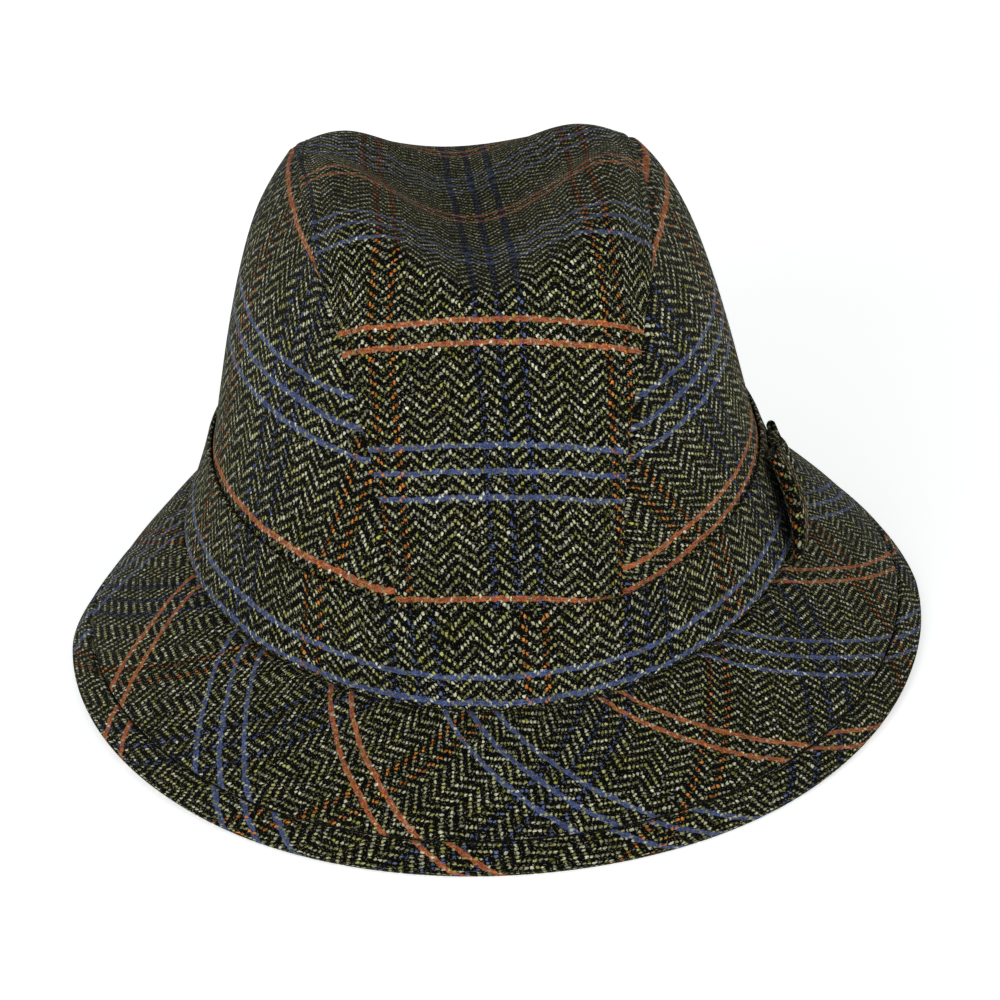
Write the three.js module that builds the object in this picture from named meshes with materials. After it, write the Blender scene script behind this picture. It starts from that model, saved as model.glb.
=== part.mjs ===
// Tweed trilby: a three-panel crown with a front-to-back crease, a self-cloth band with a flat bow,
// and a brim of two cloths whose lower cloth turns up round the edge.
// Millimetres. +Z up, the front of the hat faces -Y, the wearer's left (the bow) is +X.
// The brim edge rests on z = 0 and the crown's middle is on x = 0, y = 0.
import * as THREE from "three";

// Named sizes
const HEAD_WIDTH = 172;
const HEAD_LENGTH = 209;
const CROWN_HEIGHT = 117;
const BRIM_WIDTH = 245.6;
const BRIM_LENGTH = 277;
const BRIM_FALL = 37.3;
const FOOT_DIP = 5;
const CROWN_CLOTH = 1.9;
const BRIM_CLOTH = 1.3;
const BAND_CLOTH = 1.5;
const BAND_TOP = 0.95;
const SEAM_GAP = 0.32;
const SEAM_SINK = 0.7;
const LAYER_GAP = 0.32;
const EDGE_STRIP = 0.165;
const BOW_LENGTH = 26;
const BOW_PROUD = 5;
const BOW_CLOTH = 1;
const KNOT_WIDTH = 9;
const AROUND = 72;

// Sections of the centre panel from the front foot over the crease to the back foot.
// mid is the line down the middle, ridge the crest beside the crease, seam the panel's edge.
// x is a share of HEAD_WIDTH, y a share of HEAD_LENGTH, h a share of CROWN_HEIGHT above the foot.
// tilt is how far the wearer's-right seam stands above h and the left one below it, the same share as h.
const PANEL = [
  { at: "front foot", midX: 0.0000, midY: -0.5000, midH: -0.0427, ridgeX: 0.0930, ridgeY: -0.4914,
    ridgeH: -0.0410, seamX: 0.1744, seamY: -0.4689, seamH: -0.0376, tilt: 0.0000 },
  { at: "above the band", midX: 0.0000, midY: -0.4474, midH: 0.1795, ridgeX: 0.1047, ridgeY: -0.4411,
    ridgeH: 0.1795, seamX: 0.1820, seamY: -0.4211, seamH: 0.1752, tilt: 0.0085 },
  { at: "front, low", midX: 0.0000, midY: -0.3804, midH: 0.4957, ridgeX: 0.1291, ridgeY: -0.3703,
    ridgeH: 0.4957, seamX: 0.2052, seamY: -0.3579, seamH: 0.4701, tilt: 0.0188 },
  { at: "front, high", midX: 0.0000, midY: -0.3215, midH: 0.7350, ridgeX: 0.1453, ridgeY: -0.3134,
    ridgeH: 0.7521, seamX: 0.2401, seamY: -0.3086, seamH: 0.7137, tilt: 0.0256 },
  { at: "front rim", midX: 0.0017, midY: -0.2995, midH: 0.8444, ridgeX: 0.1733, ridgeY: -0.2967,
    ridgeH: 0.9470, seamX: 0.2512, seamY: -0.2967, seamH: 0.8188, tilt: 0.0282 },
  { at: "front of top", midX: 0.0017, midY: -0.2512, midH: 0.8462, ridgeX: 0.2023, ridgeY: -0.2321,
    ridgeH: 0.9932, seamX: 0.2628, seamY: -0.2632, seamH: 0.8872, tilt: 0.0239 },
  { at: "top, front", midX: 0.0058, midY: -0.1029, midH: 0.8103, ridgeX: 0.2145, ridgeY: -0.0813,
    ridgeH: 0.9863, seamX: 0.2762, seamY: -0.1340, seamH: 0.9256, tilt: 0.0231 },
  { at: "top, middle", midX: -0.0029, midY: 0.0622, midH: 0.7632, ridgeX: 0.2326, ridgeY: 0.0789,
    ridgeH: 0.9145, seamX: 0.2820, seamY: 0.0239, seamH: 0.9094, tilt: 0.0197 },
  { at: "top, back", midX: -0.0145, midY: 0.2115, midH: 0.7205, ridgeX: 0.2052, ridgeY: 0.2081,
    ridgeH: 0.8650, seamX: 0.2826, seamY: 0.1722, seamH: 0.8581, tilt: 0.0205 },
  { at: "back rim", midX: 0.0000, midY: 0.3541, midH: 0.6769, ridgeX: 0.1791, ridgeY: 0.2957,
    ridgeH: 0.7838, seamX: 0.2558, seamY: 0.2852, seamH: 0.7453, tilt: 0.0205 },
  { at: "back, high", midX: -0.0029, midY: 0.4378, midH: 0.6350, ridgeX: 0.1616, ridgeY: 0.3900,
    ridgeH: 0.6632, seamX: 0.2384, seamY: 0.3742, seamH: 0.6205, tilt: 0.0154 },
  { at: "back, middle", midX: 0.0000, midY: 0.4574, midH: 0.4188, ridgeX: 0.1366, ridgeY: 0.4282,
    ridgeH: 0.4359, seamX: 0.2122, seamY: 0.4091, seamH: 0.4188, tilt: 0.0103 },
  { at: "back, low", midX: 0.0000, midY: 0.4770, midH: 0.2051, ridgeX: 0.1105, ridgeY: 0.4651,
    ridgeH: 0.2077, seamX: 0.1890, seamY: 0.4435, seamH: 0.1966, tilt: 0.0043 },
  { at: "back foot", midX: 0.0000, midY: 0.5000, midH: -0.0427, ridgeX: 0.0930, ridgeY: 0.4914,
    ridgeH: -0.0410, seamX: 0.1744, seamY: 0.4689, seamH: -0.0376, tilt: 0.0000 },
];
const FRONT_CORNER = 5;
const BACK_CORNER = 9;
const LAST = PANEL.length - 1;

// The side panel's outline at the widest place, from the foot up to the top seam.
// share runs up the panel from 0 to 1, x, y, h and tilt are shares of the same three sizes.
const SIDE = [
  { at: "foot", share: 0.00, x: 0.5000, y: 0.0000, h: 0.0000, tilt: 0.0000 },
  { at: "band top", share: 0.19, x: 0.4512, y: 0.0048, h: 0.2051, tilt: 0.0120 },
  { at: "above the band", share: 0.30, x: 0.4355, y: 0.0048, h: 0.3162, tilt: 0.0197 },
  { at: "middle", share: 0.46, x: 0.4134, y: 0.0096, h: 0.4701, tilt: 0.0222 },
  { at: "upper", share: 0.61, x: 0.3895, y: 0.0096, h: 0.6111, tilt: 0.0231 },
  { at: "shoulder, low", share: 0.74, x: 0.3605, y: 0.0096, h: 0.7393, tilt: 0.0205 },
  { at: "shoulder", share: 0.85, x: 0.3244, y: 0.0096, h: 0.8376, tilt: 0.0154 },
  { at: "shoulder, high", share: 0.93, x: 0.2953, y: 0.0096, h: 0.8940, tilt: 0.0171 },
  { at: "top seam", share: 1.00, x: 0.2756, y: 0.0048, h: 0.9265, tilt: 0.0248 },
];

// How far the brim edge lifts off the surface, by angle from the wearer's left toward the back.
// lift is a share of BRIM_FALL, reach is how much further out the edge is, a share of BRIM_WIDTH.
const EDGE = [
  { degrees: 0, lift: 0.042, reach: 0.004 },
  { degrees: 30, lift: 0.021, reach: -0.003 },
  { degrees: 55, lift: 0, reach: 0 },
  { degrees: 90, lift: 0, reach: -0.004 },
  { degrees: 110, lift: 0, reach: -0.006 },
  { degrees: 127, lift: 0, reach: -0.018 },
  { degrees: 143, lift: 0, reach: -0.024 },
  { degrees: 160, lift: 0.01, reach: -0.016 },
  { degrees: 180, lift: 0.03, reach: 0.002 },
  { degrees: 210, lift: 0.021, reach: 0 },
  { degrees: 235, lift: 0, reach: -0.002 },
  { degrees: 270, lift: 0, reach: -0.004 },
  { degrees: 305, lift: 0, reach: 0 },
  { degrees: 330, lift: 0.021, reach: 0 },
  { degrees: 360, lift: 0.042, reach: 0.004 },
];

// The bow's two layers from the knot (along 0) to its front fold (along 1): inner and outer are how far
// each rises between its upper and lower edge, as shares of BOW_PROUD, tall is a share of the band's height.
const BOW = [
  { along: 0, inner: 0, outer: 0, tall: 0.64 },
  { along: 0.22, inner: 0, outer: 0.07, tall: 0.67 },
  { along: 0.5, inner: 0.06, outer: 0.62, tall: 0.86 },
  { along: 0.8, inner: 0.32, outer: 1, tall: 1 },
  { along: 0.95, inner: 0.6, outer: 1, tall: 1.02 },
];

const CLOTH_COLOUR = 0x3b3931;

// Curve helpers

// A smooth curve through the given knots that never overshoots them.
function through(knots, values) {
  const n = knots.length;
  const width = [];
  const rise = [];
  for (let i = 0; i < n - 1; i += 1) {
    width.push(knots[i + 1] - knots[i]);
    rise.push((values[i + 1] - values[i]) / width[i]);
  }
  const slope = [rise[0]];
  for (let i = 1; i < n - 1; i += 1) {
    if (rise[i - 1] * rise[i] <= 0) {
      slope.push(0);
    } else {
      const a = 2 * width[i] + width[i - 1];
      const b = width[i] + 2 * width[i - 1];
      slope.push((a + b) / (a / rise[i - 1] + b / rise[i]));
    }
  }
  slope.push(rise[n - 2]);
  return (t) => {
    let i = 0;
    while (i < n - 2 && t > knots[i + 1]) {
      i += 1;
    }
    const s = (t - knots[i]) / width[i];
    const h00 = (1 + 2 * s) * (1 - s) * (1 - s);
    const h10 = s * (1 - s) * (1 - s);
    const h01 = s * s * (3 - 2 * s);
    const h11 = s * s * (s - 1);
    return h00 * values[i] + h10 * width[i] * slope[i] + h01 * values[i + 1] + h11 * width[i] * slope[i + 1];
  };
}

function column(rows, knots, name, size) {
  return through(
    knots,
    rows.map((row) => row[name] * size),
  );
}

const STATIONS = PANEL.map((row, index) => index);
const panel = {
  midX: column(PANEL, STATIONS, "midX", HEAD_WIDTH),
  tilt: column(PANEL, STATIONS, "tilt", CROWN_HEIGHT),
  midY: column(PANEL, STATIONS, "midY", HEAD_LENGTH),
  midH: column(PANEL, STATIONS, "midH", CROWN_HEIGHT),
  ridgeX: column(PANEL, STATIONS, "ridgeX", HEAD_WIDTH),
  ridgeY: column(PANEL, STATIONS, "ridgeY", HEAD_LENGTH),
  ridgeH: column(PANEL, STATIONS, "ridgeH", CROWN_HEIGHT),
  seamX: column(PANEL, STATIONS, "seamX", HEAD_WIDTH),
  seamY: column(PANEL, STATIONS, "seamY", HEAD_LENGTH),
  seamH: column(PANEL, STATIONS, "seamH", CROWN_HEIGHT),
};
const SHARES = SIDE.map((row) => row.share);
const side = {
  x: column(SIDE, SHARES, "x", HEAD_WIDTH),
  y: column(SIDE, SHARES, "y", HEAD_LENGTH),
  h: column(SIDE, SHARES, "h", CROWN_HEIGHT),
  tilt: column(SIDE, SHARES, "tilt", CROWN_HEIGHT),
};
const EDGE_ANGLES = EDGE.map((row) => row.degrees);
const edgeLift = column(EDGE, EDGE_ANGLES, "lift", BRIM_FALL);
const edgeReach = column(EDGE, EDGE_ANGLES, "reach", BRIM_WIDTH);

const FOOT_Z = BRIM_FALL;
const RIDGE_AT = 0.68;
// A place inside the crown that its outward directions point away from.
const HEART = 0.17;
const HEART_NARROW = 0.75;
// Where the shoulder starts to follow the top seam, as a share of the side panel.
const SHOULDER = 0.6;

function clamp(value, low, high) {
  return Math.min(high, Math.max(low, value));
}

// Crown surface

function centrePoint(t, across) {
  const at = clamp(t, 0, LAST);
  const knots = [-1, -RIDGE_AT, 0, RIDGE_AT, 1];
  const sx = panel.seamX(at);
  const rx = panel.ridgeX(at);
  const ry = panel.ridgeY(at);
  const rh = panel.ridgeH(at);
  const sy = panel.seamY(at);
  const sh = panel.seamH(at);
  const x = through(knots, [-sx, -rx, panel.midX(at), rx, sx])(across);
  const y = through(knots, [sy, ry, panel.midY(at), ry, sy])(across);
  const h = through(knots, [sh, rh, panel.midH(at), rh, sh])(across);
  return new THREE.Vector3(x, y, FOOT_Z + h - (panel.tilt(at) * x) / sx);
}

// A point of a seam, with x positive for both hands. hand is 1 on the wearer's left, -1 on the right.
function seamPoint(t, hand) {
  const p = centrePoint(t, hand);
  p.x *= hand;
  return p;
}

// One point of a side panel with x positive for both hands: u from the front seam to the back, v up.
function sidePoint(u, v, hand) {
  const front = seamPoint(FRONT_CORNER * v, hand);
  const back = seamPoint(LAST - (LAST - BACK_CORNER) * v, hand);
  const xm = side.x(v);
  const ym = side.y(v);
  const hm = FOOT_Z + side.h(v) - hand * side.tilt(v);
  const end = u < 0.5 ? front : back;
  const turn = Math.acos(clamp(end.x / xm, -1, 1));
  const away = Math.abs(1 - 2 * u);
  const angle = turn * away;
  const wide = Math.sin(angle) / Math.max(Math.sin(turn), 1e-6);
  const point = new THREE.Vector3(
    xm * Math.cos(angle),
    ym + (end.y - ym) * wide,
    hm + (end.z - hm) * away * away,
  );
  if (v > SHOULDER) {
    const share = (v - SHOULDER) / (1 - SHOULDER);
    const blend = share * share * share;
    const seam = seamPoint(FRONT_CORNER + (BACK_CORNER - FRONT_CORNER) * u, hand);
    point.add(seam.sub(topRow(u, hand)).multiplyScalar(blend));
  }
  return point;
}

function topRow(u, hand) {
  const end = seamPoint(u < 0.5 ? FRONT_CORNER : BACK_CORNER, hand);
  const xm = side.x(1);
  const ym = side.y(1);
  const hm = FOOT_Z + side.h(1) - hand * side.tilt(1);
  const turn = Math.acos(clamp(end.x / xm, -1, 1));
  const away = Math.abs(1 - 2 * u);
  const angle = turn * away;
  const wide = Math.sin(angle) / Math.max(Math.sin(turn), 1e-6);
  return new THREE.Vector3(
    xm * Math.cos(angle),
    ym + (end.y - ym) * wide,
    hm + (end.z - hm) * away * away,
  );
}

const NORMAL_STEP = 0.004;

// The outward direction of a surface given as a function of two numbers.
function outward(surface, a, b, low, high) {
  const step = NORMAL_STEP;
  const a0 = clamp(a - step * (high[0] - low[0]), low[0], high[0]);
  const a1 = clamp(a + step * (high[0] - low[0]), low[0], high[0]);
  const b0 = clamp(b - step * (high[1] - low[1]), low[1], high[1]);
  const b1 = clamp(b + step * (high[1] - low[1]), low[1], high[1]);
  const da = surface(a1, b).sub(surface(a0, b));
  const db = surface(a, b1).sub(surface(a, b0));
  const n = da.cross(db).normalize();
  const p = surface(a, b);
  const out = new THREE.Vector3(p.x, p.y * HEART_NARROW, p.z - FOOT_Z - HEART * CROWN_HEIGHT);
  if (n.dot(out) < 0) {
    n.negate();
  }
  return n;
}

function centreNormal(t, across) {
  return outward(centrePoint, t, across, [0, -1], [LAST, 1]);
}

function sideNormal(u, v, hand) {
  return outward((a, b) => sidePoint(a, b, hand), u, v, [0, 0], [1, 1]);
}

// How near the seam its directions are taken, and half the step along it.
const NEAR_SEAM = 0.985;
const SEAM_STEP = 0.02;

// A seam at t, with x positive for both hands: its place, outward direction and the way across it.
function seamFrame(t, hand) {
  const place = seamPoint(t, hand);
  const near = centreNormal(t, NEAR_SEAM * hand);
  near.x *= hand;
  let far;
  if (t < FRONT_CORNER) {
    far = sideNormal(1 - NEAR_SEAM, t / FRONT_CORNER, hand);
  } else if (t > BACK_CORNER) {
    far = sideNormal(NEAR_SEAM, (LAST - t) / (LAST - BACK_CORNER), hand);
  } else {
    far = sideNormal((t - FRONT_CORNER) / (BACK_CORNER - FRONT_CORNER), NEAR_SEAM, hand);
  }
  const ahead = seamPoint(clamp(t + SEAM_STEP, 0, LAST), hand);
  const along = ahead.sub(seamPoint(clamp(t - SEAM_STEP, 0, LAST), hand)).normalize();
  const out = near.add(far).normalize();
  out.sub(along.clone().multiplyScalar(out.dot(along))).normalize();
  const across = along.clone().cross(out).normalize();
  if (across.x < 0) {
    across.negate();
  }
  return { place, out, across };
}

function flatten(direction) {
  return new THREE.Vector3(direction.x, direction.y, 0).normalize();
}

// Solid helpers

// Six times the volume inside the faces, below zero when they point inwards.
function signedVolume(points, faces) {
  let sum = 0;
  for (let i = 0; i < faces.length; i += 3) {
    const a = points[faces[i]];
    const b = points[faces[i + 1]];
    const c = points[faces[i + 2]];
    sum += a.dot(b.clone().cross(c));
  }
  return sum;
}

function solid(name, points, faces) {
  if (signedVolume(points, faces) < 0) {
    faces.reverse();
  }
  const geometry = new THREE.BufferGeometry();
  const positions = new Float32Array(points.length * 3);
  points.forEach((p, i) => positions.set([p.x, p.y, p.z], i * 3));
  geometry.setAttribute("position", new THREE.BufferAttribute(positions, 3));
  geometry.setIndex(faces);
  geometry.computeVertexNormals();
  const material = new THREE.MeshStandardMaterial({ color: CLOTH_COLOUR, roughness: 0.95 });
  const mesh = new THREE.Mesh(geometry, material);
  mesh.name = name;
  return mesh;
}

function quad(faces, a, b, c, d) {
  faces.push(a, b, c, a, c, d);
}

// A closed wall between an outer and an inner grid of the same shape.
function wall(name, outer, inner) {
  const rows = outer.length;
  const columns = outer[0].length;
  const points = [...outer.flat(), ...inner.flat()];
  const shift = rows * columns;
  const faces = [];
  const at = (r, c) => r * columns + c;
  for (let r = 0; r < rows - 1; r += 1) {
    for (let c = 0; c < columns - 1; c += 1) {
      quad(faces, at(r, c), at(r, c + 1), at(r + 1, c + 1), at(r + 1, c));
      quad(faces, shift + at(r, c), shift + at(r + 1, c), shift + at(r + 1, c + 1), shift + at(r, c + 1));
    }
  }
  for (let c = 0; c < columns - 1; c += 1) {
    quad(faces, at(0, c + 1), at(0, c), shift + at(0, c), shift + at(0, c + 1));
    const end = rows - 1;
    quad(faces, at(end, c), at(end, c + 1), shift + at(end, c + 1), shift + at(end, c));
  }
  for (let r = 0; r < rows - 1; r += 1) {
    quad(faces, at(r, 0), at(r + 1, 0), shift + at(r + 1, 0), shift + at(r, 0));
    const end = columns - 1;
    quad(faces, at(r + 1, end), at(r, end), shift + at(r, end), shift + at(r + 1, end));
  }
  return solid(name, points, faces);
}

// A closed ring from one closed section per step round it.
function ring(name, sections) {
  const count = sections.length;
  const size = sections[0].length;
  const points = sections.flat();
  const faces = [];
  for (let i = 0; i < count; i += 1) {
    const j = (i + 1) % count;
    for (let k = 0; k < size; k += 1) {
      const m = (k + 1) % size;
      quad(faces, i * size + k, i * size + m, j * size + m, j * size + k);
    }
  }
  return solid(name, points, faces);
}

// Crown panels

const ACROSS = [-1, -0.94, -0.82, -0.68, -0.52, -0.35, -0.17, 0, 0.17, 0.35, 0.52, 0.68, 0.82, 0.94, 1];
const PER_STATION = 3;

function centrePanel() {
  const outer = [];
  const inner = [];
  for (let i = 0; i <= LAST * PER_STATION; i += 1) {
    const t = i / PER_STATION;
    const end = i === 0 || i === LAST * PER_STATION;
    const outerRow = [];
    const innerRow = [];
    ACROSS.forEach((across) => {
      let p;
      let n;
      if (Math.abs(across) === 1) {
        const frame = seamFrame(t, across);
        n = frame.out.clone();
        p = frame.place.clone();
        p.addScaledVector(frame.across, -SEAM_GAP / 2);
        p.addScaledVector(n, -SEAM_SINK);
        p.x *= across;
        n.x *= across;
      } else {
        p = centrePoint(t, across);
        n = centreNormal(t, across);
      }
      if (end) {
        n = flatten(n);
      }
      outerRow.push(p);
      innerRow.push(p.clone().addScaledVector(n, -CROWN_CLOTH));
    });
    outer.push(outerRow);
    inner.push(innerRow);
  }
  return wall("crown_centre_panel", outer, inner);
}

const UP_STEPS = 15;
const ROUND_STEPS = 24;

function sidePanel(name, hand) {
  const outer = [];
  const inner = [];
  for (let i = 0; i <= UP_STEPS; i += 1) {
    const v = i / UP_STEPS;
    const outerRow = [];
    const innerRow = [];
    for (let k = 0; k <= ROUND_STEPS; k += 1) {
      const u = k / ROUND_STEPS;
      const edge = k === 0 || k === ROUND_STEPS || i === UP_STEPS;
      let p;
      let n;
      if (edge) {
        let t = FRONT_CORNER + (BACK_CORNER - FRONT_CORNER) * u;
        if (i < UP_STEPS && k === 0) {
          t = FRONT_CORNER * v;
        }
        if (i < UP_STEPS && k === ROUND_STEPS) {
          t = LAST - (LAST - BACK_CORNER) * v;
        }
        const frame = seamFrame(t, hand);
        n = frame.out.clone();
        p = frame.place.clone();
        p.addScaledVector(frame.across, SEAM_GAP / 2);
        p.addScaledVector(n, -SEAM_SINK);
      } else {
        p = sidePoint(u, v, hand);
        n = sideNormal(u, v, hand);
      }
      if (i === 0) {
        n = flatten(n);
      }
      const q = p.clone().addScaledVector(n, -CROWN_CLOTH);
      p.x *= hand;
      q.x *= hand;
      outerRow.push(p);
      innerRow.push(q);
    }
    outer.push(outerRow);
    inner.push(innerRow);
  }
  return wall(name, outer, inner);
}

// Foot of the crown and the brim

function footZ(angle) {
  return FOOT_Z - FOOT_DIP * Math.sin(angle) * Math.sin(angle);
}

function ovalPoint(width, length, angle) {
  return new THREE.Vector3((width / 2) * Math.cos(angle), (length / 2) * Math.sin(angle), 0);
}

function ovalOut(width, length, angle) {
  return new THREE.Vector3(Math.cos(angle) / width, Math.sin(angle) / length, 0).normalize();
}

const COLLAR_IN = 2.3;
const COLLAR_OUT = 3.2;
const REST_FACE = 1.5;
const BRIM_ARCH = 1.2;
const ROLL = 1.1;
const GROOVE_DEPTH = 0.45;
const HALFWAY = 0.42;
const EDGE_RISE = 0.2;
const REST_OUT = 0.3;
// Depths of the lower cloth's two faces below the brim's top.
const FIRST = BRIM_CLOTH + LAYER_GAP;
const SECOND = 2 * BRIM_CLOTH + LAYER_GAP;

// The lines that both brim cloths are built from, at one angle.
function brimLines(angle) {
  const out = ovalOut(HEAD_WIDTH, HEAD_LENGTH, angle);
  const foot = ovalPoint(HEAD_WIDTH, HEAD_LENGTH, angle);
  foot.z = footZ(angle) - LAYER_GAP;
  const degrees = ((angle * 180) / Math.PI + 360) % 360;
  const lift = edgeLift(degrees);
  const reach = 2 * (edgeReach(degrees) - ROLL);
  const rim = ovalPoint(BRIM_WIDTH + reach, BRIM_LENGTH + reach, angle);
  rim.z = lift + SECOND + EDGE_RISE;
  const start = foot.clone().addScaledVector(out, COLLAR_OUT);
  const run = rim.clone().sub(start);
  const flat = new THREE.Vector3(run.x, run.y, 0);
  const slope = Math.atan2(-run.z, flat.length());
  const up = flat.clone().normalize().multiplyScalar(Math.sin(slope));
  up.z = Math.cos(slope);
  const top = (share, depth) => {
    const arch = BRIM_ARCH * Math.sin(Math.PI * share);
    return start.clone().addScaledVector(run, share).addScaledVector(up, arch - depth);
  };
  const collar = (distance, depth) => {
    const p = foot.clone().addScaledVector(out, distance);
    p.z -= depth;
    return p;
  };
  return { lift, rim, top, collar, flat: flat.normalize() };
}

const STEP = (Math.PI * 2) / AROUND;
const STRIP_START = 1 - EDGE_STRIP;

// Sections of the two brim cloths. line is the flat collar under the crown, in mm out from the foot,
// or the top of the brim, as a share of the way to the edge. depth is below that line, in mm.
const UPPER_SECTION = [
  { line: "collar", at: -COLLAR_IN, depth: 0 },
  { line: "collar", at: COLLAR_OUT - 0.8, depth: 0 },
  { line: "top", at: 0.07, depth: 0 },
  { line: "top", at: HALFWAY, depth: 0 },
  { line: "top", at: STRIP_START - 0.045, depth: 0 },
  { line: "top", at: STRIP_START, depth: GROOVE_DEPTH },
  { line: "top", at: STRIP_START, depth: BRIM_CLOTH },
  { line: "top", at: HALFWAY, depth: BRIM_CLOTH },
  { line: "top", at: 0.03, depth: BRIM_CLOTH },
  { line: "collar", at: COLLAR_OUT - 1.4, depth: BRIM_CLOTH },
  { line: "collar", at: -COLLAR_IN, depth: BRIM_CLOTH },
];
const UNDER_INNER = [
  { line: "collar", at: -COLLAR_IN, depth: FIRST },
  { line: "collar", at: COLLAR_OUT - 1.4, depth: FIRST },
  { line: "top", at: 0.03, depth: FIRST },
  { line: "top", at: HALFWAY, depth: FIRST },
  { line: "top", at: STRIP_START + 0.007, depth: FIRST },
  { line: "top", at: STRIP_START + 0.007, depth: GROOVE_DEPTH },
  { line: "top", at: STRIP_START + 0.042, depth: 0 },
  { line: "top", at: 0.97, depth: -0.1 },
  { line: "top", at: 1, depth: 0.5 },
];
const UNDER_OUTER = [
  { line: "top", at: 0.9, depth: SECOND },
  { line: "top", at: HALFWAY, depth: SECOND },
  { line: "top", at: 0.02, depth: SECOND },
  { line: "collar", at: COLLAR_OUT - 2, depth: SECOND },
  { line: "collar", at: -COLLAR_IN, depth: SECOND },
];

function placed(rows, lines) {
  return rows.map((row) => lines[row.line](row.at, row.depth));
}

function brimUpper() {
  const sections = [];
  for (let i = 0; i < AROUND; i += 1) {
    sections.push(placed(UPPER_SECTION, brimLines(i * STEP)));
  }
  return ring("brim_upper", sections);
}

function brimUnder() {
  const sections = [];
  for (let i = 0; i < AROUND; i += 1) {
    const lines = brimLines(i * STEP);
    const outermost = lines.rim.clone().addScaledVector(lines.flat, ROLL);
    outermost.z = lines.lift + BRIM_CLOTH + EDGE_RISE;
    const restOuter = lines.rim.clone().addScaledVector(lines.flat, REST_OUT);
    restOuter.z = lines.lift;
    const restInner = restOuter.clone().addScaledVector(lines.flat, -REST_FACE);
    const edge = [outermost, restOuter, restInner];
    sections.push([...placed(UNDER_INNER, lines), ...edge, ...placed(UNDER_OUTER, lines)]);
  }
  return ring("brim_under", sections);
}

// Band

// A place on the crown's outside: around is 0 to 4 by panel, up is a share of the band's height.
function crownPlace(around, up) {
  const rise = BAND_TOP * up;
  const v = rise / FRONT_CORNER;
  const backT = LAST - (LAST - BACK_CORNER) * v;
  const part = Math.floor(around) % 4;
  const share = around - Math.floor(around);
  if (part === 0) {
    return { p: centrePoint(rise, share * 2 - 1), n: centreNormal(rise, share * 2 - 1) };
  }
  if (part === 1) {
    return { p: sidePoint(share, v, 1), n: sideNormal(clamp(share, 0.02, 0.98), v, 1) };
  }
  if (part === 2) {
    return { p: centrePoint(backT, 1 - share * 2), n: centreNormal(backT, 1 - share * 2) };
  }
  const mirrored = { p: sidePoint(1 - share, v, -1), n: sideNormal(clamp(1 - share, 0.02, 0.98), v, -1) };
  mirrored.p.x *= -1;
  mirrored.n.x *= -1;
  return mirrored;
}

const BAND_STEPS = [
  [0, 8],
  [1, 26],
  [2, 8],
  [3, 26],
];

function bandPlaces() {
  const places = [];
  BAND_STEPS.forEach(([part, count]) => {
    for (let i = 0; i < count; i += 1) {
      places.push(part + i / count);
    }
  });
  return places;
}

const NEAR_TOP = 0.9;

// A place that stands off the crown; above the band it goes on in the same direction.
function offCrown(around, up, off) {
  const { p, n } = crownPlace(around, clamp(up, 0, 1));
  const place = p.clone().addScaledVector(n, off);
  if (up > 1) {
    const below = crownPlace(around, NEAR_TOP).p;
    const above = crownPlace(around, 1).p;
    place.add(above.sub(below).multiplyScalar((up - 1) / (1 - NEAR_TOP)));
  }
  return place;
}

const BAND_OFF = 0.35;
const BAND_ROLL = 0.35;

// The band's section: up is a share of its height, cloth a share of its thickness, extra its roll in mm.
const BAND_SECTION = [
  { up: 0, cloth: 0, extra: 0 },
  { up: 0.012, cloth: 1, extra: 0 },
  { up: 0.14, cloth: 1, extra: BAND_ROLL },
  { up: 0.3, cloth: 1, extra: 0.1 },
  { up: 0.7, cloth: 1, extra: 0 },
  { up: 0.95, cloth: 1, extra: -0.1 },
  { up: 1, cloth: 1, extra: -0.6 },
  { up: 1, cloth: 0, extra: 0 },
  { up: 0.5, cloth: 0, extra: 0 },
];

function hatBand() {
  const sections = bandPlaces().map((around) =>
    BAND_SECTION.map((row) => offCrown(around, row.up, BAND_OFF + row.cloth * BAND_CLOTH + row.extra)),
  );
  return ring("hat_band", sections);
}

// Bow on the wearer's left: a flat loop whose front fold stands off the band, and a short end behind

const bow = {
  inner: column(BOW, BOW.map((row) => row.along), "inner", BOW_PROUD),
  outer: column(BOW, BOW.map((row) => row.along), "outer", BOW_PROUD),
  tall: column(BOW, BOW.map((row) => row.along), "tall", 1),
};
const BOW_REACH = 0.95;
const BOW_STEPS = 6;
const BOW_BACK = 0.4;
const BOW_BACK_STEPS = [0.5, 0.9];
const BOW_SLANT = 0.5;
const BOW_CENTRE = 0.49;
const BOW_ABOUT = 1.468;
// The side panel's length round the band, as a share of the head's two sizes together.
const SIDE_SHARE = 0.598;
const SIDE_LENGTH = SIDE_SHARE * (HEAD_WIDTH + HEAD_LENGTH);
const BAND_FACE = BAND_OFF + BAND_CLOTH + BAND_ROLL;
const INNER_FLOOR = 0.3;
const OUTER_FLOOR = 2 * INNER_FLOOR + BOW_CLOTH;
const SWELL_AT = 0.45;
const SWELL = 0.8;

// A place over the band: along runs from the knot to the front fold, which slants forward at its foot.
function bowPlace(along, up, off) {
  const slant = along > 0 ? 1 + BOW_SLANT * (0.5 - up) : 1;
  const around = BOW_ABOUT - (along * slant * BOW_LENGTH) / SIDE_LENGTH;
  return offCrown(around, up, BAND_FACE + off);
}

// How much of a layer's rise it has at this height: most a little below its middle.
function swell(up) {
  const away = (up - SWELL_AT) / (1 - SWELL_AT);
  return 1 - SWELL * away * away;
}

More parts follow.
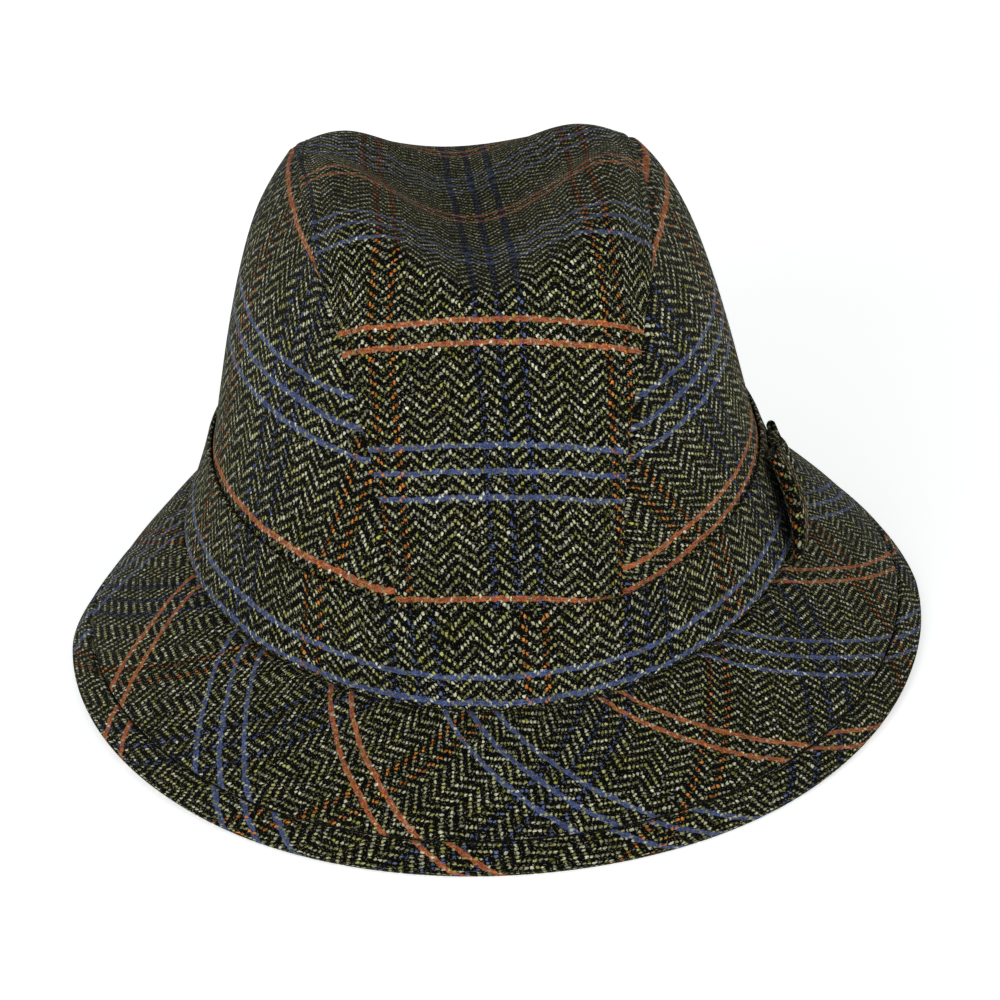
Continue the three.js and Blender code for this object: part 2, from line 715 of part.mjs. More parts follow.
// The middle line of the bow's closed loop, once round.
function bowLoop() {
  const outer = [];
  const inner = [];
  for (let i = 0; i <= BOW_STEPS; i += 1) {
    const along = (BOW_REACH * i) / BOW_STEPS;
    outer.push({ along, floor: OUTER_FLOOR, rise: bow.outer(along) });
    inner.unshift({ along, floor: INNER_FLOOR, rise: bow.inner(along) });
  }
  const middle = (OUTER_FLOOR + INNER_FLOOR) / 2;
  const fold = { along: 1, floor: middle, rise: (bow.outer(BOW_REACH) + bow.inner(BOW_REACH)) / 2 };
  const back = BOW_BACK_STEPS.map((share) => -share * BOW_BACK);
  return [
    ...outer,
    fold,
    ...inner,
    ...back.map((along) => ({ along, floor: INNER_FLOOR, rise: 0 })),
    { along: -BOW_BACK, floor: middle, rise: 0 },
    ...back.reverse().map((along) => ({ along, floor: OUTER_FLOOR, rise: 0 })),
  ];
}

const BOW_HEIGHTS = [0, 0.25, 0.5, 0.75, 1];

function bandBow() {
  const line = bowLoop();
  const count = line.length;
  const half = BOW_CLOTH / 2;
  const sections = line.map((here, i) => {
    const before = line[(i + count - 1) % count];
    const after = line[(i + 1) % count];
    const dx = (after.along - before.along) * BOW_LENGTH;
    const dy = after.floor + after.rise - before.floor - before.rise;
    const size = Math.hypot(dx, dy);
    const tall = bow.tall(clamp(here.along, 0, BOW_REACH));
    const spot = (share, side) => {
      const up = BOW_CENTRE + (share - 0.5) * tall;
      const along = here.along - (side * half * dy) / size / BOW_LENGTH;
      const off = here.floor + here.rise * swell(up) + half + (side * half * dx) / size;
      return bowPlace(along, up, off);
    };
    return [
      ...BOW_HEIGHTS.map((share) => spot(share, 1)),
      ...BOW_HEIGHTS.map((share) => spot(1 - share, -1)),
    ];
  });
  return ring("band_bow", sections);
}

// The wrap round the bow's middle: up is a share of the band's height, off how far it stands over
// the band face, as mm beyond the given level.
const KNOT_OUTER = [
  { up: 0.075, level: "band", off: 0.05 },
  { up: 0.085, level: "face", off: 0.2 },
  { up: 0.17, level: "face", off: 0.85 },
  { up: 0.49, level: "face", off: 1 },
  { up: 0.81, level: "face", off: 0.85 },
  { up: 0.89, level: "face", off: 0.2 },
  { up: 0.9, level: "band", off: 0.05 },
];
const KNOT_INNER = [
  { up: 0.12, level: "band", off: 0.05 },
  { up: 0.125, level: "face", off: -0.3 },
  { up: 0.17, level: "face", off: -0.1 },
  { up: 0.49, level: "face", off: 0 },
  { up: 0.81, level: "face", off: -0.1 },
  { up: 0.85, level: "face", off: -0.3 },
  { up: 0.855, level: "band", off: 0.05 },
];
const KNOT_OFF = 0.6;

function bandKnot() {
  const half = KNOT_WIDTH / 2 / BOW_LENGTH;
  const levels = { band: 0, face: OUTER_FLOOR + BOW_CLOTH + KNOT_OFF };
  const across = [-half, -half / 2, 0, half / 2, half];
  const side = (rows) =>
    across.map((along) => rows.map((row) => bowPlace(along, row.up, levels[row.level] + row.off)));
  return wall("band_knot", side(KNOT_OUTER), side(KNOT_INNER));
}

const group = new THREE.Group();
group.name = "trilby";
group.add(centrePanel());
group.add(sidePanel("crown_side_panel_left", 1));
group.add(sidePanel("crown_side_panel_right", -1));
group.add(brimUpper());
group.add(brimUnder());
group.add(hatBand());
group.add(bandBow());
group.add(bandKnot());

export default group;
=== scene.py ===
"""A tweed trilby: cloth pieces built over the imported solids, in the same frame."""

import math
from functools import partial

import bmesh
import bpy
import numpy as np
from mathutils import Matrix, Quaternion, Vector
from numpy.polynomial import polynomial


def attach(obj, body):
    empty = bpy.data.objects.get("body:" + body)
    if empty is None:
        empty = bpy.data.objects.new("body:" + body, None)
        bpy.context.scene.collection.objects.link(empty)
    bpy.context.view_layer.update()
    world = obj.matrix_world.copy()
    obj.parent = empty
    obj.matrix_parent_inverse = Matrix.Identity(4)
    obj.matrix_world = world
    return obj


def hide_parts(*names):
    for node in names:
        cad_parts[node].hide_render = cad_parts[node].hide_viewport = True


bl_info = {
    "name": "Tweed Trilby",
    "version": (1, 0, 0),
    "blender": (4, 5, 0),
    "location": "View3D > Sidebar > Trilby",
    "description": "Builds a tweed trilby piece by piece round its packed solids",
    "category": "Object",
}

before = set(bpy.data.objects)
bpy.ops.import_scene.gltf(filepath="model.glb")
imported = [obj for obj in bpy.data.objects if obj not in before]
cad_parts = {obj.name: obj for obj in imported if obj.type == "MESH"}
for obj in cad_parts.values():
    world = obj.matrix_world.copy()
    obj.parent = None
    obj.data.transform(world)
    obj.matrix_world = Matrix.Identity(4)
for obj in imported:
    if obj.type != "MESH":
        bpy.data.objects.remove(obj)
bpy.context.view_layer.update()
MM = 0.001
# From the hat's own middle lines to the middle of its box, in mm
FRAME_SHIFT = (-0.246, 0.0, 0.0)
UV_NAME = "cloth_mm"

# Sections of the centre panel, from the front foot over the crease to the back foot, in shares of
# the head width (x), the head length (y) and the crown height (h). mid is the middle line, ridge
# the crest beside the crease, seam the panel's edge, tilt how much the right seam stands higher.
PANEL = {
    "mid_x": (0, 0, 0, 0, 0.0017, 0.0017, 0.0058, -0.0029, -0.0145, 0, -0.0029, 0, 0, 0),
    "mid_y": (-0.5, -0.4474, -0.3804, -0.3215, -0.2995, -0.2512, -0.1029, 0.0622, 0.2115,
        0.3541, 0.4378, 0.4574, 0.477, 0.5),
    "mid_h": (-0.0427, 0.1795, 0.4957, 0.735, 0.8444, 0.8462, 0.8103, 0.7632, 0.7205, 0.6769,
        0.635, 0.4188, 0.2051, -0.0427),
    "ridge_x": (0.093, 0.1047, 0.1291, 0.1453, 0.1733, 0.2023, 0.2145, 0.2326, 0.2052, 0.1791,
        0.1616, 0.1366, 0.1105, 0.093),
    "ridge_y": (-0.4914, -0.4411, -0.3703, -0.3134, -0.2967, -0.2321, -0.0813, 0.0789, 0.2081,
        0.2957, 0.39, 0.4282, 0.4651, 0.4914),
    "ridge_h": (-0.041, 0.1795, 0.4957, 0.7521, 0.947, 0.9932, 0.9863, 0.9145, 0.865, 0.7838,
        0.6632, 0.4359, 0.2077, -0.041),
    "seam_x": (0.1744, 0.182, 0.2052, 0.2401, 0.2512, 0.2628, 0.2762, 0.282, 0.2826, 0.2558,
        0.2384, 0.2122, 0.189, 0.1744),
    "seam_y": (-0.4689, -0.4211, -0.3579, -0.3086, -0.2967, -0.2632, -0.134, 0.0239, 0.1722,
        0.2852, 0.3742, 0.4091, 0.4435, 0.4689),
    "seam_h": (-0.0376, 0.1752, 0.4701, 0.7137, 0.8188, 0.8872, 0.9256, 0.9094, 0.8581,
        0.7453, 0.6205, 0.4188, 0.1966, -0.0376),
    "tilt": (0, 0.0085, 0.0188, 0.0256, 0.0282, 0.0239, 0.0231, 0.0197, 0.0205, 0.0205,
        0.0154, 0.0103, 0.0043, 0),
}
FRONT_CORNER = 5
BACK_CORNER = 9
LAST = len(PANEL["tilt"]) - 1
RIDGE_AT = 0.68

# The side panel's outline at the widest place, from the foot (share 0) to the top seam (share 1).
SIDE = {
    "share": (0, 0.19, 0.3, 0.46, 0.61, 0.74, 0.85, 0.93, 1),
    "x": (0.5, 0.4512, 0.4355, 0.4134, 0.3895, 0.3605, 0.3244, 0.2953, 0.2756),
    "y": (0, 0.0048, 0.0048, 0.0096, 0.0096, 0.0096, 0.0096, 0.0096, 0.0048),
    "h": (0, 0.2051, 0.3162, 0.4701, 0.6111, 0.7393, 0.8376, 0.894, 0.9265),
    "tilt": (0, 0.012, 0.0197, 0.0222, 0.0231, 0.0205, 0.0154, 0.0171, 0.0248),
}

# How far the brim edge lifts off the ground (share of the fall) and reaches further out (share of
# the brim width), by angle from the wearer's left toward the back.
EDGE = {
    "degrees": (0, 30, 55, 90, 110, 127, 143, 160, 180, 210, 235, 270, 305, 330, 360),
    "lift": (0.042, 0.021, 0, 0, 0, 0, 0, 0.01, 0.03, 0.021, 0, 0, 0, 0.021, 0.042),
    "reach": (0.004, -0.003, 0, -0.004, -0.006, -0.018, -0.024, -0.016, 0.002, 0, -0.002,
        -0.004, 0, 0, 0.004),
}

# The bow's two layers from the knot (along 0) to its front fold: how far each rises between its
# upper and lower edge (share of the bow's stand) and how tall it is (share of the band's height).
BOW = {
    "along": (0, 0.22, 0.5, 0.8, 0.95),
    "inner": (0, 0, 0.06, 0.32, 0.6),
    "outer": (0, 0.07, 0.62, 1, 1),
    "tall": (0.64, 0.67, 0.86, 1, 1.02),
}

# The band's section from its turned lower edge to its top: up is a share of its height, off how far
# it stands off the crown in mm, high the way along its cloth in mm.
BAND_SECTION = {
    "up": (0, 0, 0.012, 0.06, 0.14, 0.3, 0.7, 0.95, 1, 1),
    "off": (0.5, 1.3, 1.9, 2.25, 2.4, 2.05, 1.85, 1.75, 1.2, 0.6),
    "high": (-1.5, -0.8, 0, 1.6, 3.6, 7.8, 18, 24.2, 25.6, 26.4),
}

# Fixed sizes in mm, as in the solids
FOOT_DIP = 5.0  # how much lower the crown's foot lies at the front and back than at the sides
SEAM_SINK = 0.9
SEAM_SOFT = 1.5
SEAM_TUCK = 0.5  # how far a side panel reaches under the centre panel at the seam
CROWN_HEART = np.array((0.0, 0.0, 60.0))  # the seams sink toward here, so that both panels meet
TOPSTITCH_IN = 5.0
TOPSTITCH_SINK = 0.22
TOPSTITCH_SOFT = 1.0
TOPSTITCH_PROUD = 0.12
STITCH_STEP = 3.0
STITCH_RADIUS = 0.42
STITCH_SHAPE = (2.0, 0.5, 0.4)  # along the seam, across it and off the cloth, in radii
LAYER_GAP = 0.32
COLLAR_IN = 2.3
COLLAR_OUT = 3.2
REST_FACE = 1.5
BRIM_ARCH = 1.2
ROLL = 1.1
RIM_CLEAR = 0.2
GROOVE_DEPTH = 0.45
BAND_TALL = 24.0
BAND_FACE = 2.2
BAND_TRIM = 0.4  # how much thinner the band's cloth is than its solid
BOW_FLOOR = 0.3
KNOT_CLEAR = 0.6
KNOT_CLOTH = 0.7
TUCKED = 0.1

# Places on the crown: stations go up a panel, and around is counted in panels from the right end
# of the front, by way of the wearer's left
BAND_TOP = 0.95  # in stations
BAND_START = 2.5  # where the band's ends meet, at the middle of the back
BAND_FRONT = 4.5  # the middle of the front, one turn on
BOW_ABOUT = 1.468
SHOULDER = 0.6  # the share of a side panel's height from which its rows bend up to the top seam
SIDE_SHARE = 0.598  # a side panel's length at the foot, in head widths and lengths together

# Shares without a unit
EDGE_STRIP = 0.165  # the turned edge's width, in widths of the brim
BOW_REACH = 0.95  # the front fold and the rear end, in bow lengths from the knot
BOW_BACK = 0.4
BOW_SLANT = 0.5
BOW_CENTRE = 0.49  # in band heights, like the next
BOW_SWELL_AT = 0.45
BOW_SWELL = 0.8
BOW_TRIM = 0.92  # the bow's cloth, in thicknesses of its solid

# Shares of the centre panel's length where its cloth starts to settle level, and over which it does
SETTLE_FROM = 0.45
SETTLE_OVER = 0.35
# How much the grids crowd toward the seams
CENTRE_CROWD = 0.4
SIDE_CROWD = 0.3

# The studio: area lights with their place, width in metres and watts, then the camera
LIGHTS = (
    ("key", (-0.9, -1.3, 0.7), 1.0, 12.0),
    ("fill", (1.3, -0.9, 0.5), 1.0, 6.0),
    ("rim", (0.1, 1.2, 1.2), 1.4, 1.0),
)
LIGHT_AIM = (0, 0, 0.06)
ROOM_LIGHT = 0.4
FLOOR_GLOW = 0.6  # keeps the floor as white as the photograph's ground
CAMERA_PIVOT = (0, 0, 0.0373)
CAMERA_DISTANCE = 1.3
CAMERA_ANGLES = {"elevation": 28, "yaw": 2.8, "roll": 3.2}
CAMERA_LENS = 162.4
CAMERA_SHIFT = (0.010, 0.0102)

# How the cloth lies on each piece. u runs across the warp and v along it, in mm. Row i, column j
# multiplies l ** i * r ** j, where l is the way across the piece and r the way up it in 100 mm.
CLOTH_LAY = {
    "crown_centre": {
        "u": ((-2.1, 0, 0), (100, 0, 0), (0, 0, 0)),
        "v": ((-101.86, 100, 0), (7.91, 2.92, -4.48), (45.25, -10.48, -4.47))},
    "crown_side_left": {
        "u": ((32.55, 17.21, 0), (98.46, -26.48, 0), (0, 0, 0)),
        "v": ((-30.79, 118.49, -17.95), (7.25, 2.72, 6.44), (7.07, 0, 0))},
    "crown_side_right": {
        "u": ((45.0, 4.9, 0), (98.57, -10.05, 0), (0, 0, 0)),
        "v": ((-18.75, 76.77, 2.94), (4.53, 1.18, 1.79), (3.35, 0, 0))},
    "brim_top": {
        "u": ((-22.95, 71.61, 7.15), (91.76, -28.83, -10.48), (-1.18, -3.28, -2.26)),
        "v": ((51.67, -72.0, -22.92), (102.05, -38.09, -13.92), (-0.95, 7.05, 3.27))},
    "brim_under": {
        "u": ((-17.95, 71.61, 7.15), (91.76, -28.83, -10.48), (-1.18, -3.28, -2.26)),
        "v": ((46.67, -72.0, -22.92), (102.05, -38.09, -13.92), (-0.95, 7.05, 3.27))},
    "band": {
        "u": ((26.7, 0, 0), (100, 0, 0), (0, 0, 0)),
        "v": ((35.7, 100, 0), (0, 0, 0), (0, 0, 0))},
    "bow": {
        "u": ((4.0, 0, 0), (100, 0, 0), (0, 0, 0)),
        "v": ((5.0, 100, 0), (0, 0, 0), (0, 0, 0))},
    "knot": {
        "u": ((19.0, 0, 0), (100, 0, 0), (0, 0, 0)),
        "v": ((4.6, 100, 0), (0, 0, 0), (0, 0, 0))},
}

# How far either way from the front the lay is measured, in steps of 100 mm. Past it, the cloth
# runs straight on.
LAY_REACH = 2.0

# The overcheck, counted in threads
WARP_REPEAT = 72
WEFT_REPEAT = 96
REVERSE_EVERY = 6


def length_setting(name, description, default, **more):
    """The property that holds one length, in metres."""
    return bpy.props.FloatProperty(
        name=name, description=description, default=default, unit="LENGTH", **more)


class TrilbySizes(bpy.types.PropertyGroup):
    """Sizes of the hat and of its cloth."""

    head_width: length_setting("Head width", "Width of the crown at its foot", 0.172)
    head_length: length_setting("Head length", "Length of the crown at its foot", 0.209)
    crown_height: length_setting("Crown height", "Size that the crown's heights are shares of", 0.117)
    brim_width: length_setting("Brim width", "Width across the brim", 0.2456)
    brim_length: length_setting("Brim length", "Length over the brim", 0.277)
    brim_fall: length_setting("Brim fall", "Height of the crown's foot over the brim edge", 0.0373)
    crown_cloth: length_setting("Crown cloth", "Thickness of the crown's cloth", 0.0019)
    brim_cloth: length_setting("Brim cloth", "Thickness of each brim cloth", 0.0013)
    band_cloth: length_setting("Band cloth", "Thickness of the band", 0.0015)
    bow_length: length_setting("Bow length", "From the knot's middle to the front fold", 0.026)
    bow_proud: length_setting("Bow stand", "How far the bow's fold rises off its floor", 0.005)
    bow_cloth: length_setting("Bow cloth", "Thickness of the bow's cloth", 0.001)
    knot_width: length_setting("Knot width", "Width of the wrap round the bow", 0.009)
    warp_pitch: length_setting(
        "Warp pitch", "Distance from one warp thread to the next", 0.00089, precision=5)
    weft_pitch: length_setting(
        "Weft pitch", "Distance from one weft thread to the next", 0.000785, precision=6)


def hex_linear(text):
    """The linear red, green, blue and alpha of an sRGB hex colour."""
    parts = [int(text[i:i + 2], 16) / 255 for i in (0, 2, 4)]
    linear = [p / 12.92 if p <= 0.04045 else ((p + 0.055) / 1.055) ** 2.4 for p in parts]
    return (*linear, 1.0)


def colour_setting(name, description, text):
    """The property that holds one colour, from its sRGB hex."""
    return bpy.props.FloatVectorProperty(
        name=name, description=description, default=hex_linear(text), size=4, subtype="COLOR")


class TrilbyColours(bpy.types.PropertyGroup):
    """Colours of the yarns and of the studio."""

    warp_light: colour_setting("Warp yarn", "Light yarn that runs up the panels", "b2b29c")
    warp_straw: colour_setting("Straw warp yarn", "Yellower yarn mixed into the warp", "86863f")
    weft_dark: colour_setting("Weft yarn", "Dark yarn that runs across the panels", "0b0c0a")
    blue: colour_setting("Blue yarn", "Yarn of the blue overcheck", "46527a")
    orange: colour_setting("Orange yarn", "Yarn of the orange overcheck", "a0593a")
    warp_orange: colour_setting(
        "Orange warp yarn", "Yellower orange yarn of the overcheck, in the warp", "b06a2c")
    thread: colour_setting("Thread", "Sewing thread of the topstitching", "33342a")
    floor: colour_setting("Floor", "Pale studio floor", "f4f6f6")


def sizes():
    """The sizes in millimetres, by name."""
    group = bpy.context.scene.trilby_sizes
    return {name: getattr(group, name) / MM for name in TrilbySizes.__annotations__}


# Curves


def hermite(s, width, start, end, start_slope, end_slope):
    """The cubic between two knots, at share s of the way."""
    return ((1 + 2 * s) * (1 - s) ** 2 * start + s * (1 - s) ** 2 * width * start_slope
            + s * s * (3 - 2 * s) * end + s * s * (s - 1) * width * end_slope)


def through(knots, values):
    """A smooth curve through the knots that never overshoots them. It takes and gives arrays."""
    knots = np.asarray(knots, float)
    values = np.asarray(values, float)
    width = np.diff(knots)
    rate = np.diff(values) / width
    slope = np.empty_like(values)
    slope[0], slope[-1] = rate[0], rate[-1]
    for i in range(1, len(knots) - 1):
        if rate[i - 1] * rate[i] <= 0:
            slope[i] = 0
        else:
            a = 2 * width[i] + width[i - 1]
            b = width[i] + 2 * width[i - 1]
            slope[i] = (a + b) / (a / rate[i - 1] + b / rate[i])

    def curve(at):
        at = np.asarray(at, float)
        i = np.clip(np.searchsorted(knots, at, side="right") - 1, 0, len(knots) - 2)
        s = (at - knots[i]) / width[i]
        return hermite(s, width[i], values[i], values[i + 1], slope[i], slope[i + 1])

    return curve


def through_rows(knots, rows, at):
    """The same curve with its own values at each place: rows[k] holds the values at knots[k]."""
    knots = np.asarray(knots, float)
    rows = np.stack(np.broadcast_arrays(*rows))
    width = np.diff(knots).reshape(-1, *([1] * (rows.ndim - 1)))
    rate = np.diff(rows, axis=0) / width
    slope = np.zeros_like(rows)
    slope[0], slope[-1] = rate[0], rate[-1]
    for i in range(1, len(knots) - 1):
        a = 2 * width[i] + width[i - 1]
        b = width[i] + 2 * width[i - 1]
        same = rate[i - 1] * rate[i] > 0
        safe_a = np.where(same, rate[i - 1], 1)
        safe_b = np.where(same, rate[i], 1)
        slope[i] = np.where(same, (a + b) / (a / safe_a + b / safe_b), 0)
    at = np.broadcast_to(at, rows.shape[1:])
    i = np.clip(np.searchsorted(knots, at, side="right") - 1, 0, len(knots) - 2)
    w = np.diff(knots)[i]
    s = (at - knots[i]) / w
    take = lambda table, k: np.take_along_axis(table, k[None], 0)[0]
    return hermite(s, w, take(rows, i), take(rows, i + 1), take(slope, i), take(slope, i + 1))


def unit(vectors):
    """The same vectors, one long."""
    return vectors / np.maximum(np.linalg.norm(vectors, axis=-1, keepdims=True), 1e-9)


def flatten(vectors):
    """The level part of the vectors, one long."""
    return unit(vectors * np.array([1, 1, 0]))


class Hat:
    """The hat's surfaces in millimetres, from its sizes."""

    def __init__(self, size):
        self.size = size
        self.foot_z = size["brim_fall"]
        share = {"x": size["head_width"], "y": size["head_length"], "h": size["crown_height"]}
        stations = range(LAST + 1)
        self.panel = {
            name: through(stations, np.array(row) * share["h" if name == "tilt" else name[-1]])
            for name, row in PANEL.items()
        }
        self.side = {
            name: through(SIDE["share"], np.array(row) * share["h" if name == "tilt" else name])
            for name, row in SIDE.items() if name != "share"
        }
        self.lift = through(EDGE["degrees"], np.array(EDGE["lift"]) * size["brim_fall"])
        self.reach = through(EDGE["degrees"], np.array(EDGE["reach"]) * size["brim_width"])
        self.bow = {
            name: through(BOW["along"], np.array(BOW[name]) * (1 if name == "tall" else size["bow_proud"]))
            for name in ("inner", "outer", "tall")
        }

    def centre(self, t, across):
        """Points of the centre panel."""
        t, across = np.broadcast_arrays(np.clip(np.asarray(t, float), 0, LAST), np.asarray(across, float))
        p = {name: curve(t) for name, curve in self.panel.items()}
        knots = (-1, -RIDGE_AT, 0, RIDGE_AT, 1)
        x = through_rows(
            knots, (-p["seam_x"], -p["ridge_x"], p["mid_x"], p["ridge_x"], p["seam_x"]), across)
        y = through_rows(knots, (p["seam_y"], p["ridge_y"], p["mid_y"], p["ridge_y"], p["seam_y"]), across)
        h = through_rows(knots, (p["seam_h"], p["ridge_h"], p["mid_h"], p["ridge_h"], p["seam_h"]), across)
        return np.stack([x, y, self.foot_z + h - p["tilt"] * x / p["seam_x"]], -1)

    def seam(self, t, hand):
        """Points of a seam, with x above zero for both hands."""
        p = self.centre(t, np.full(np.shape(t), float(hand)))
        return p * np.array([hand, 1, 1])

    def side_row(self, front, back, u, v, hand):
        """One level row of a side panel between its two ends, bulging to the widest place."""
        xm = self.side["x"](v)
        ym = self.side["y"](v)
        hm = self.foot_z + self.side["h"](v) - hand * self.side["tilt"](v)
        end = np.where((u < 0.5)[..., None], front, back)
        turn = np.arccos(np.clip(end[..., 0] / xm, -1, 1))
        away = np.abs(1 - 2 * u)
        wide = np.sin(turn * away) / np.maximum(np.sin(turn), 1e-6)
        return np.stack([
            xm * np.cos(turn * away),
            ym + (end[..., 1] - ym) * wide,
            hm + (end[..., 2] - hm) * away * away,
        ], -1)

    def side_point(self, u, v, hand):
        """Points of a side panel with x above zero: u from the front seam to the back, v up."""
        u, v = np.broadcast_arrays(np.asarray(u, float), np.asarray(v, float))
        front = self.seam(FRONT_CORNER * v, hand)
        back = self.seam(LAST - (LAST - BACK_CORNER) * v, hand)
        place = self.side_row(front, back, u, v, hand)
        one = np.ones_like(v)
        front = self.seam(FRONT_CORNER * one, hand)
        back = self.seam(BACK_CORNER * one, hand)
        top = self.side_row(front, back, u, one, hand)
        share = np.clip((v - SHOULDER) / (1 - SHOULDER), 0, 1) ** 3
        seam = self.seam(FRONT_CORNER + (BACK_CORNER - FRONT_CORNER) * u, hand)
        return place + (seam - top) * share[..., None]

    def band_place(self, around, up):
        """Points of the crown's outside: around is 0 to 4 by panel, up a share of the band's height."""
        around, up = np.broadcast_arrays(np.asarray(around, float) % 4, np.asarray(up, float))
        rise = BAND_TOP * up
        v = rise / FRONT_CORNER
        part = np.floor(around)
        share = around - part
        front = self.centre(rise, share * 2 - 1)
        back = self.centre(LAST - (LAST - BACK_CORNER) * v, 1 - share * 2)
        left = self.side_point(share, v, 1)
        right = self.side_point(1 - share, v, -1) * np.array([-1, 1, 1])
        part = part[..., None]
        return np.where(part == 0, front, np.where(part == 1, left, np.where(part == 2, back, right)))

    def off_band(self, around, up, off):
        """Points standing off the crown near its foot."""
        step = 0.004
        clipped = np.clip(up, 0, 1)
        place = self.band_place(around, clipped)
        along = self.band_place(around + step, clipped) - self.band_place(around - step, clipped)
        rise = self.band_place(around, np.clip(clipped + 0.03, 0, 1)) - self.band_place(
            around, np.clip(clipped - 0.03, 0, 1))
        out = unit(np.cross(along, rise))
        beyond = np.asarray(up - clipped)[..., None] * BAND_TALL
        return place + out * np.asarray(off)[..., None] + unit(rise) * beyond

    def bow_place(self, along, up, off):
        """Points over the band's face: along runs from the knot to the fold, which slants forward."""
        side = SIDE_SHARE * (self.size["head_width"] + self.size["head_length"])
        slant = np.where(along > 0, 1 + BOW_SLANT * (0.5 - up), 1)
        around = BOW_ABOUT - along * slant * self.size["bow_length"] / side
        return self.off_band(around, up, BAND_FACE + off)

    def brim_lines(self, angle):
        """The lines that both brim cloths are built from."""
        angle = np.asarray(angle, float)
        s = self.size
        east, north = np.cos(angle), np.sin(angle)
        flat = lambda width, length, z: np.stack(
            [width / 2 * east, length / 2 * north, z + 0 * angle], -1)
        out = unit(np.stack([east / s["head_width"], north / s["head_length"], 0 * angle], -1))
        foot = flat(s["head_width"], s["head_length"], self.foot_z - FOOT_DIP * north ** 2 - LAYER_GAP)
        degrees = np.degrees(angle) % 360
        lift = self.lift(degrees)
        reach = 2 * (self.reach(degrees) - ROLL)
        rim = flat(s["brim_width"] + reach, s["brim_length"] + reach,
                   lift + 2 * s["brim_cloth"] + LAYER_GAP + RIM_CLEAR)
        start = foot + out * COLLAR_OUT
        run = rim - start
        level = flatten(run)
        slope = np.arctan2(-run[..., 2], np.linalg.norm(run[..., :2], axis=-1))[..., None]
        up = level * np.sin(slope) + np.array([0, 0, 1]) * np.cos(slope)

        def top(share, depth):
            return start + run * share + up * (BRIM_ARCH * math.sin(math.pi * share) - depth)

        def collar(distance, depth):
            return foot + out * distance - np.array([0, 0, depth])

        return lift, rim, top, collar, level


def path_legs(controls):
    """The mean length from each control point to the next, over the columns."""
    return np.linalg.norm(np.diff(np.stack(controls), axis=0), axis=-1).mean(axis=1)


def path_knots(controls):
    """The share of the whole length at which each control point lies."""
    knots = np.concatenate([[0], np.cumsum(path_legs(controls))])
    return knots / knots[-1]


def smooth_path(controls, at):
    """Points on a smooth line through the control points, at shares of its length, for each column."""
    knots = path_knots(controls)
    controls = np.stack(controls)
    slopes = np.gradient(controls, knots, axis=0)
    i = np.clip(np.searchsorted(knots, at, side="right") - 1, 0, len(knots) - 2)
    w = (knots[i + 1] - knots[i])[:, None]
    s = (at - knots[i])[:, None] / w
    column = np.arange(controls.shape[1])
    return hermite(s, w, controls[i, column], controls[i + 1, column], slopes[i, column],
                   slopes[i + 1, column])


# Building


def cloth_grid(name, columns, rows, place, lay, closed=False):
    """A sheet of cloth from a grid of squares. place gives each point, and its way across and up the
    piece in mm, from shares along and up the grid. A closed sheet joins its two ends."""
    bm = bmesh.new()
    bmesh.ops.create_grid(bm, x_segments=columns, y_segments=rows, size=0.5)
    flat = np.array([v.co[:2] for v in bm.verts]) + 0.5
    points, cloth = place(flat[:, 0], flat[:, 1])
    across, up = cloth.T / 100
    traced = np.clip(across, -LAY_REACH, LAY_REACH)
    cloth = []
    for way in "uv":
        matrix = np.array(CLOTH_LAY[lay][way], float)
        slope = polynomial.polyval2d(traced, 0 * up + up.mean(), polynomial.polyder(matrix, axis=0))
        cloth.append(polynomial.polyval2d(traced, up, matrix) + (across - traced) * slope)
    cloth = np.stack(cloth, -1)
    layer = bm.loops.layers.uv.new(UV_NAME)
    for vert, point in zip(bm.verts, (points + FRAME_SHIFT) * MM):
        vert.co = point
    for face in bm.faces:
        for loop in face.loops:
            loop[layer].uv = cloth[loop.vert.index]
    if closed:
        bmesh.ops.remove_doubles(bm, verts=bm.verts[:], dist=0.00001)
    mesh = bpy.data.meshes.new(name)
    bm.to_mesh(mesh)
    bm.free()
    piece = bpy.data.objects.new(name, mesh)
    bpy.context.scene.collection.objects.link(piece)
    mesh.shade_smooth()
    return piece


def face_out(piece, centre):
    """Turns the whole sheet over if its faces look toward the centre."""
    mesh = piece.data
    side = sum((f.center - centre).dot(f.normal) for f in mesh.polygons)
    if side < 0:
        mesh.flip_normals()


def solidify(piece, thickness, offset=-1):
    """Gives the sheet its thickness, on its inner side unless told otherwise."""
    wall = piece.modifiers.new("Thickness", "SOLIDIFY")
    wall.thickness = thickness * MM
    wall.offset = offset
    wall.use_even_offset = False
    return piece


def arc_lengths(points):
    """Distances along each row of points, from the row's first one."""
    steps = np.linalg.norm(np.diff(points, axis=1), axis=-1)
    return np.concatenate([np.zeros((len(points), 1)), np.cumsum(steps, axis=1)], axis=1)


def look_up(table, x, y):
    """Values between the places of a table, at shares x along its rows and y down them."""
    x = x * (table.shape[1] - 1)
    y = y * (table.shape[0] - 1)
    i = np.clip(np.floor(x).astype(int), 0, table.shape[1] - 2)
    j = np.clip(np.floor(y).astype(int), 0, table.shape[0] - 2)
    f, g = x - i, y - j
    return ((1 - g) * ((1 - f) * table[j, i] + f * table[j, i + 1])
            + g * ((1 - f) * table[j + 1, i] + f * table[j + 1, i + 1]))


def sunk(points, inside, stitched=0):
    """Crown points drawn in where the cloth turns under at a seam, which is inside mm away."""
    turned = SEAM_SINK * np.exp(-(inside / SEAM_SOFT) ** 2)
    return points - unit(points - CROWN_HEART) * (turned + stitched)[:, None]


def crowded(shares, amount):
    """Shares from 0 to 1 moved toward both ends by an amount, so that a grid is finer there."""
    return (1 - amount) * shares + amount * (0.5 - 0.5 * np.cos(math.pi * shares))


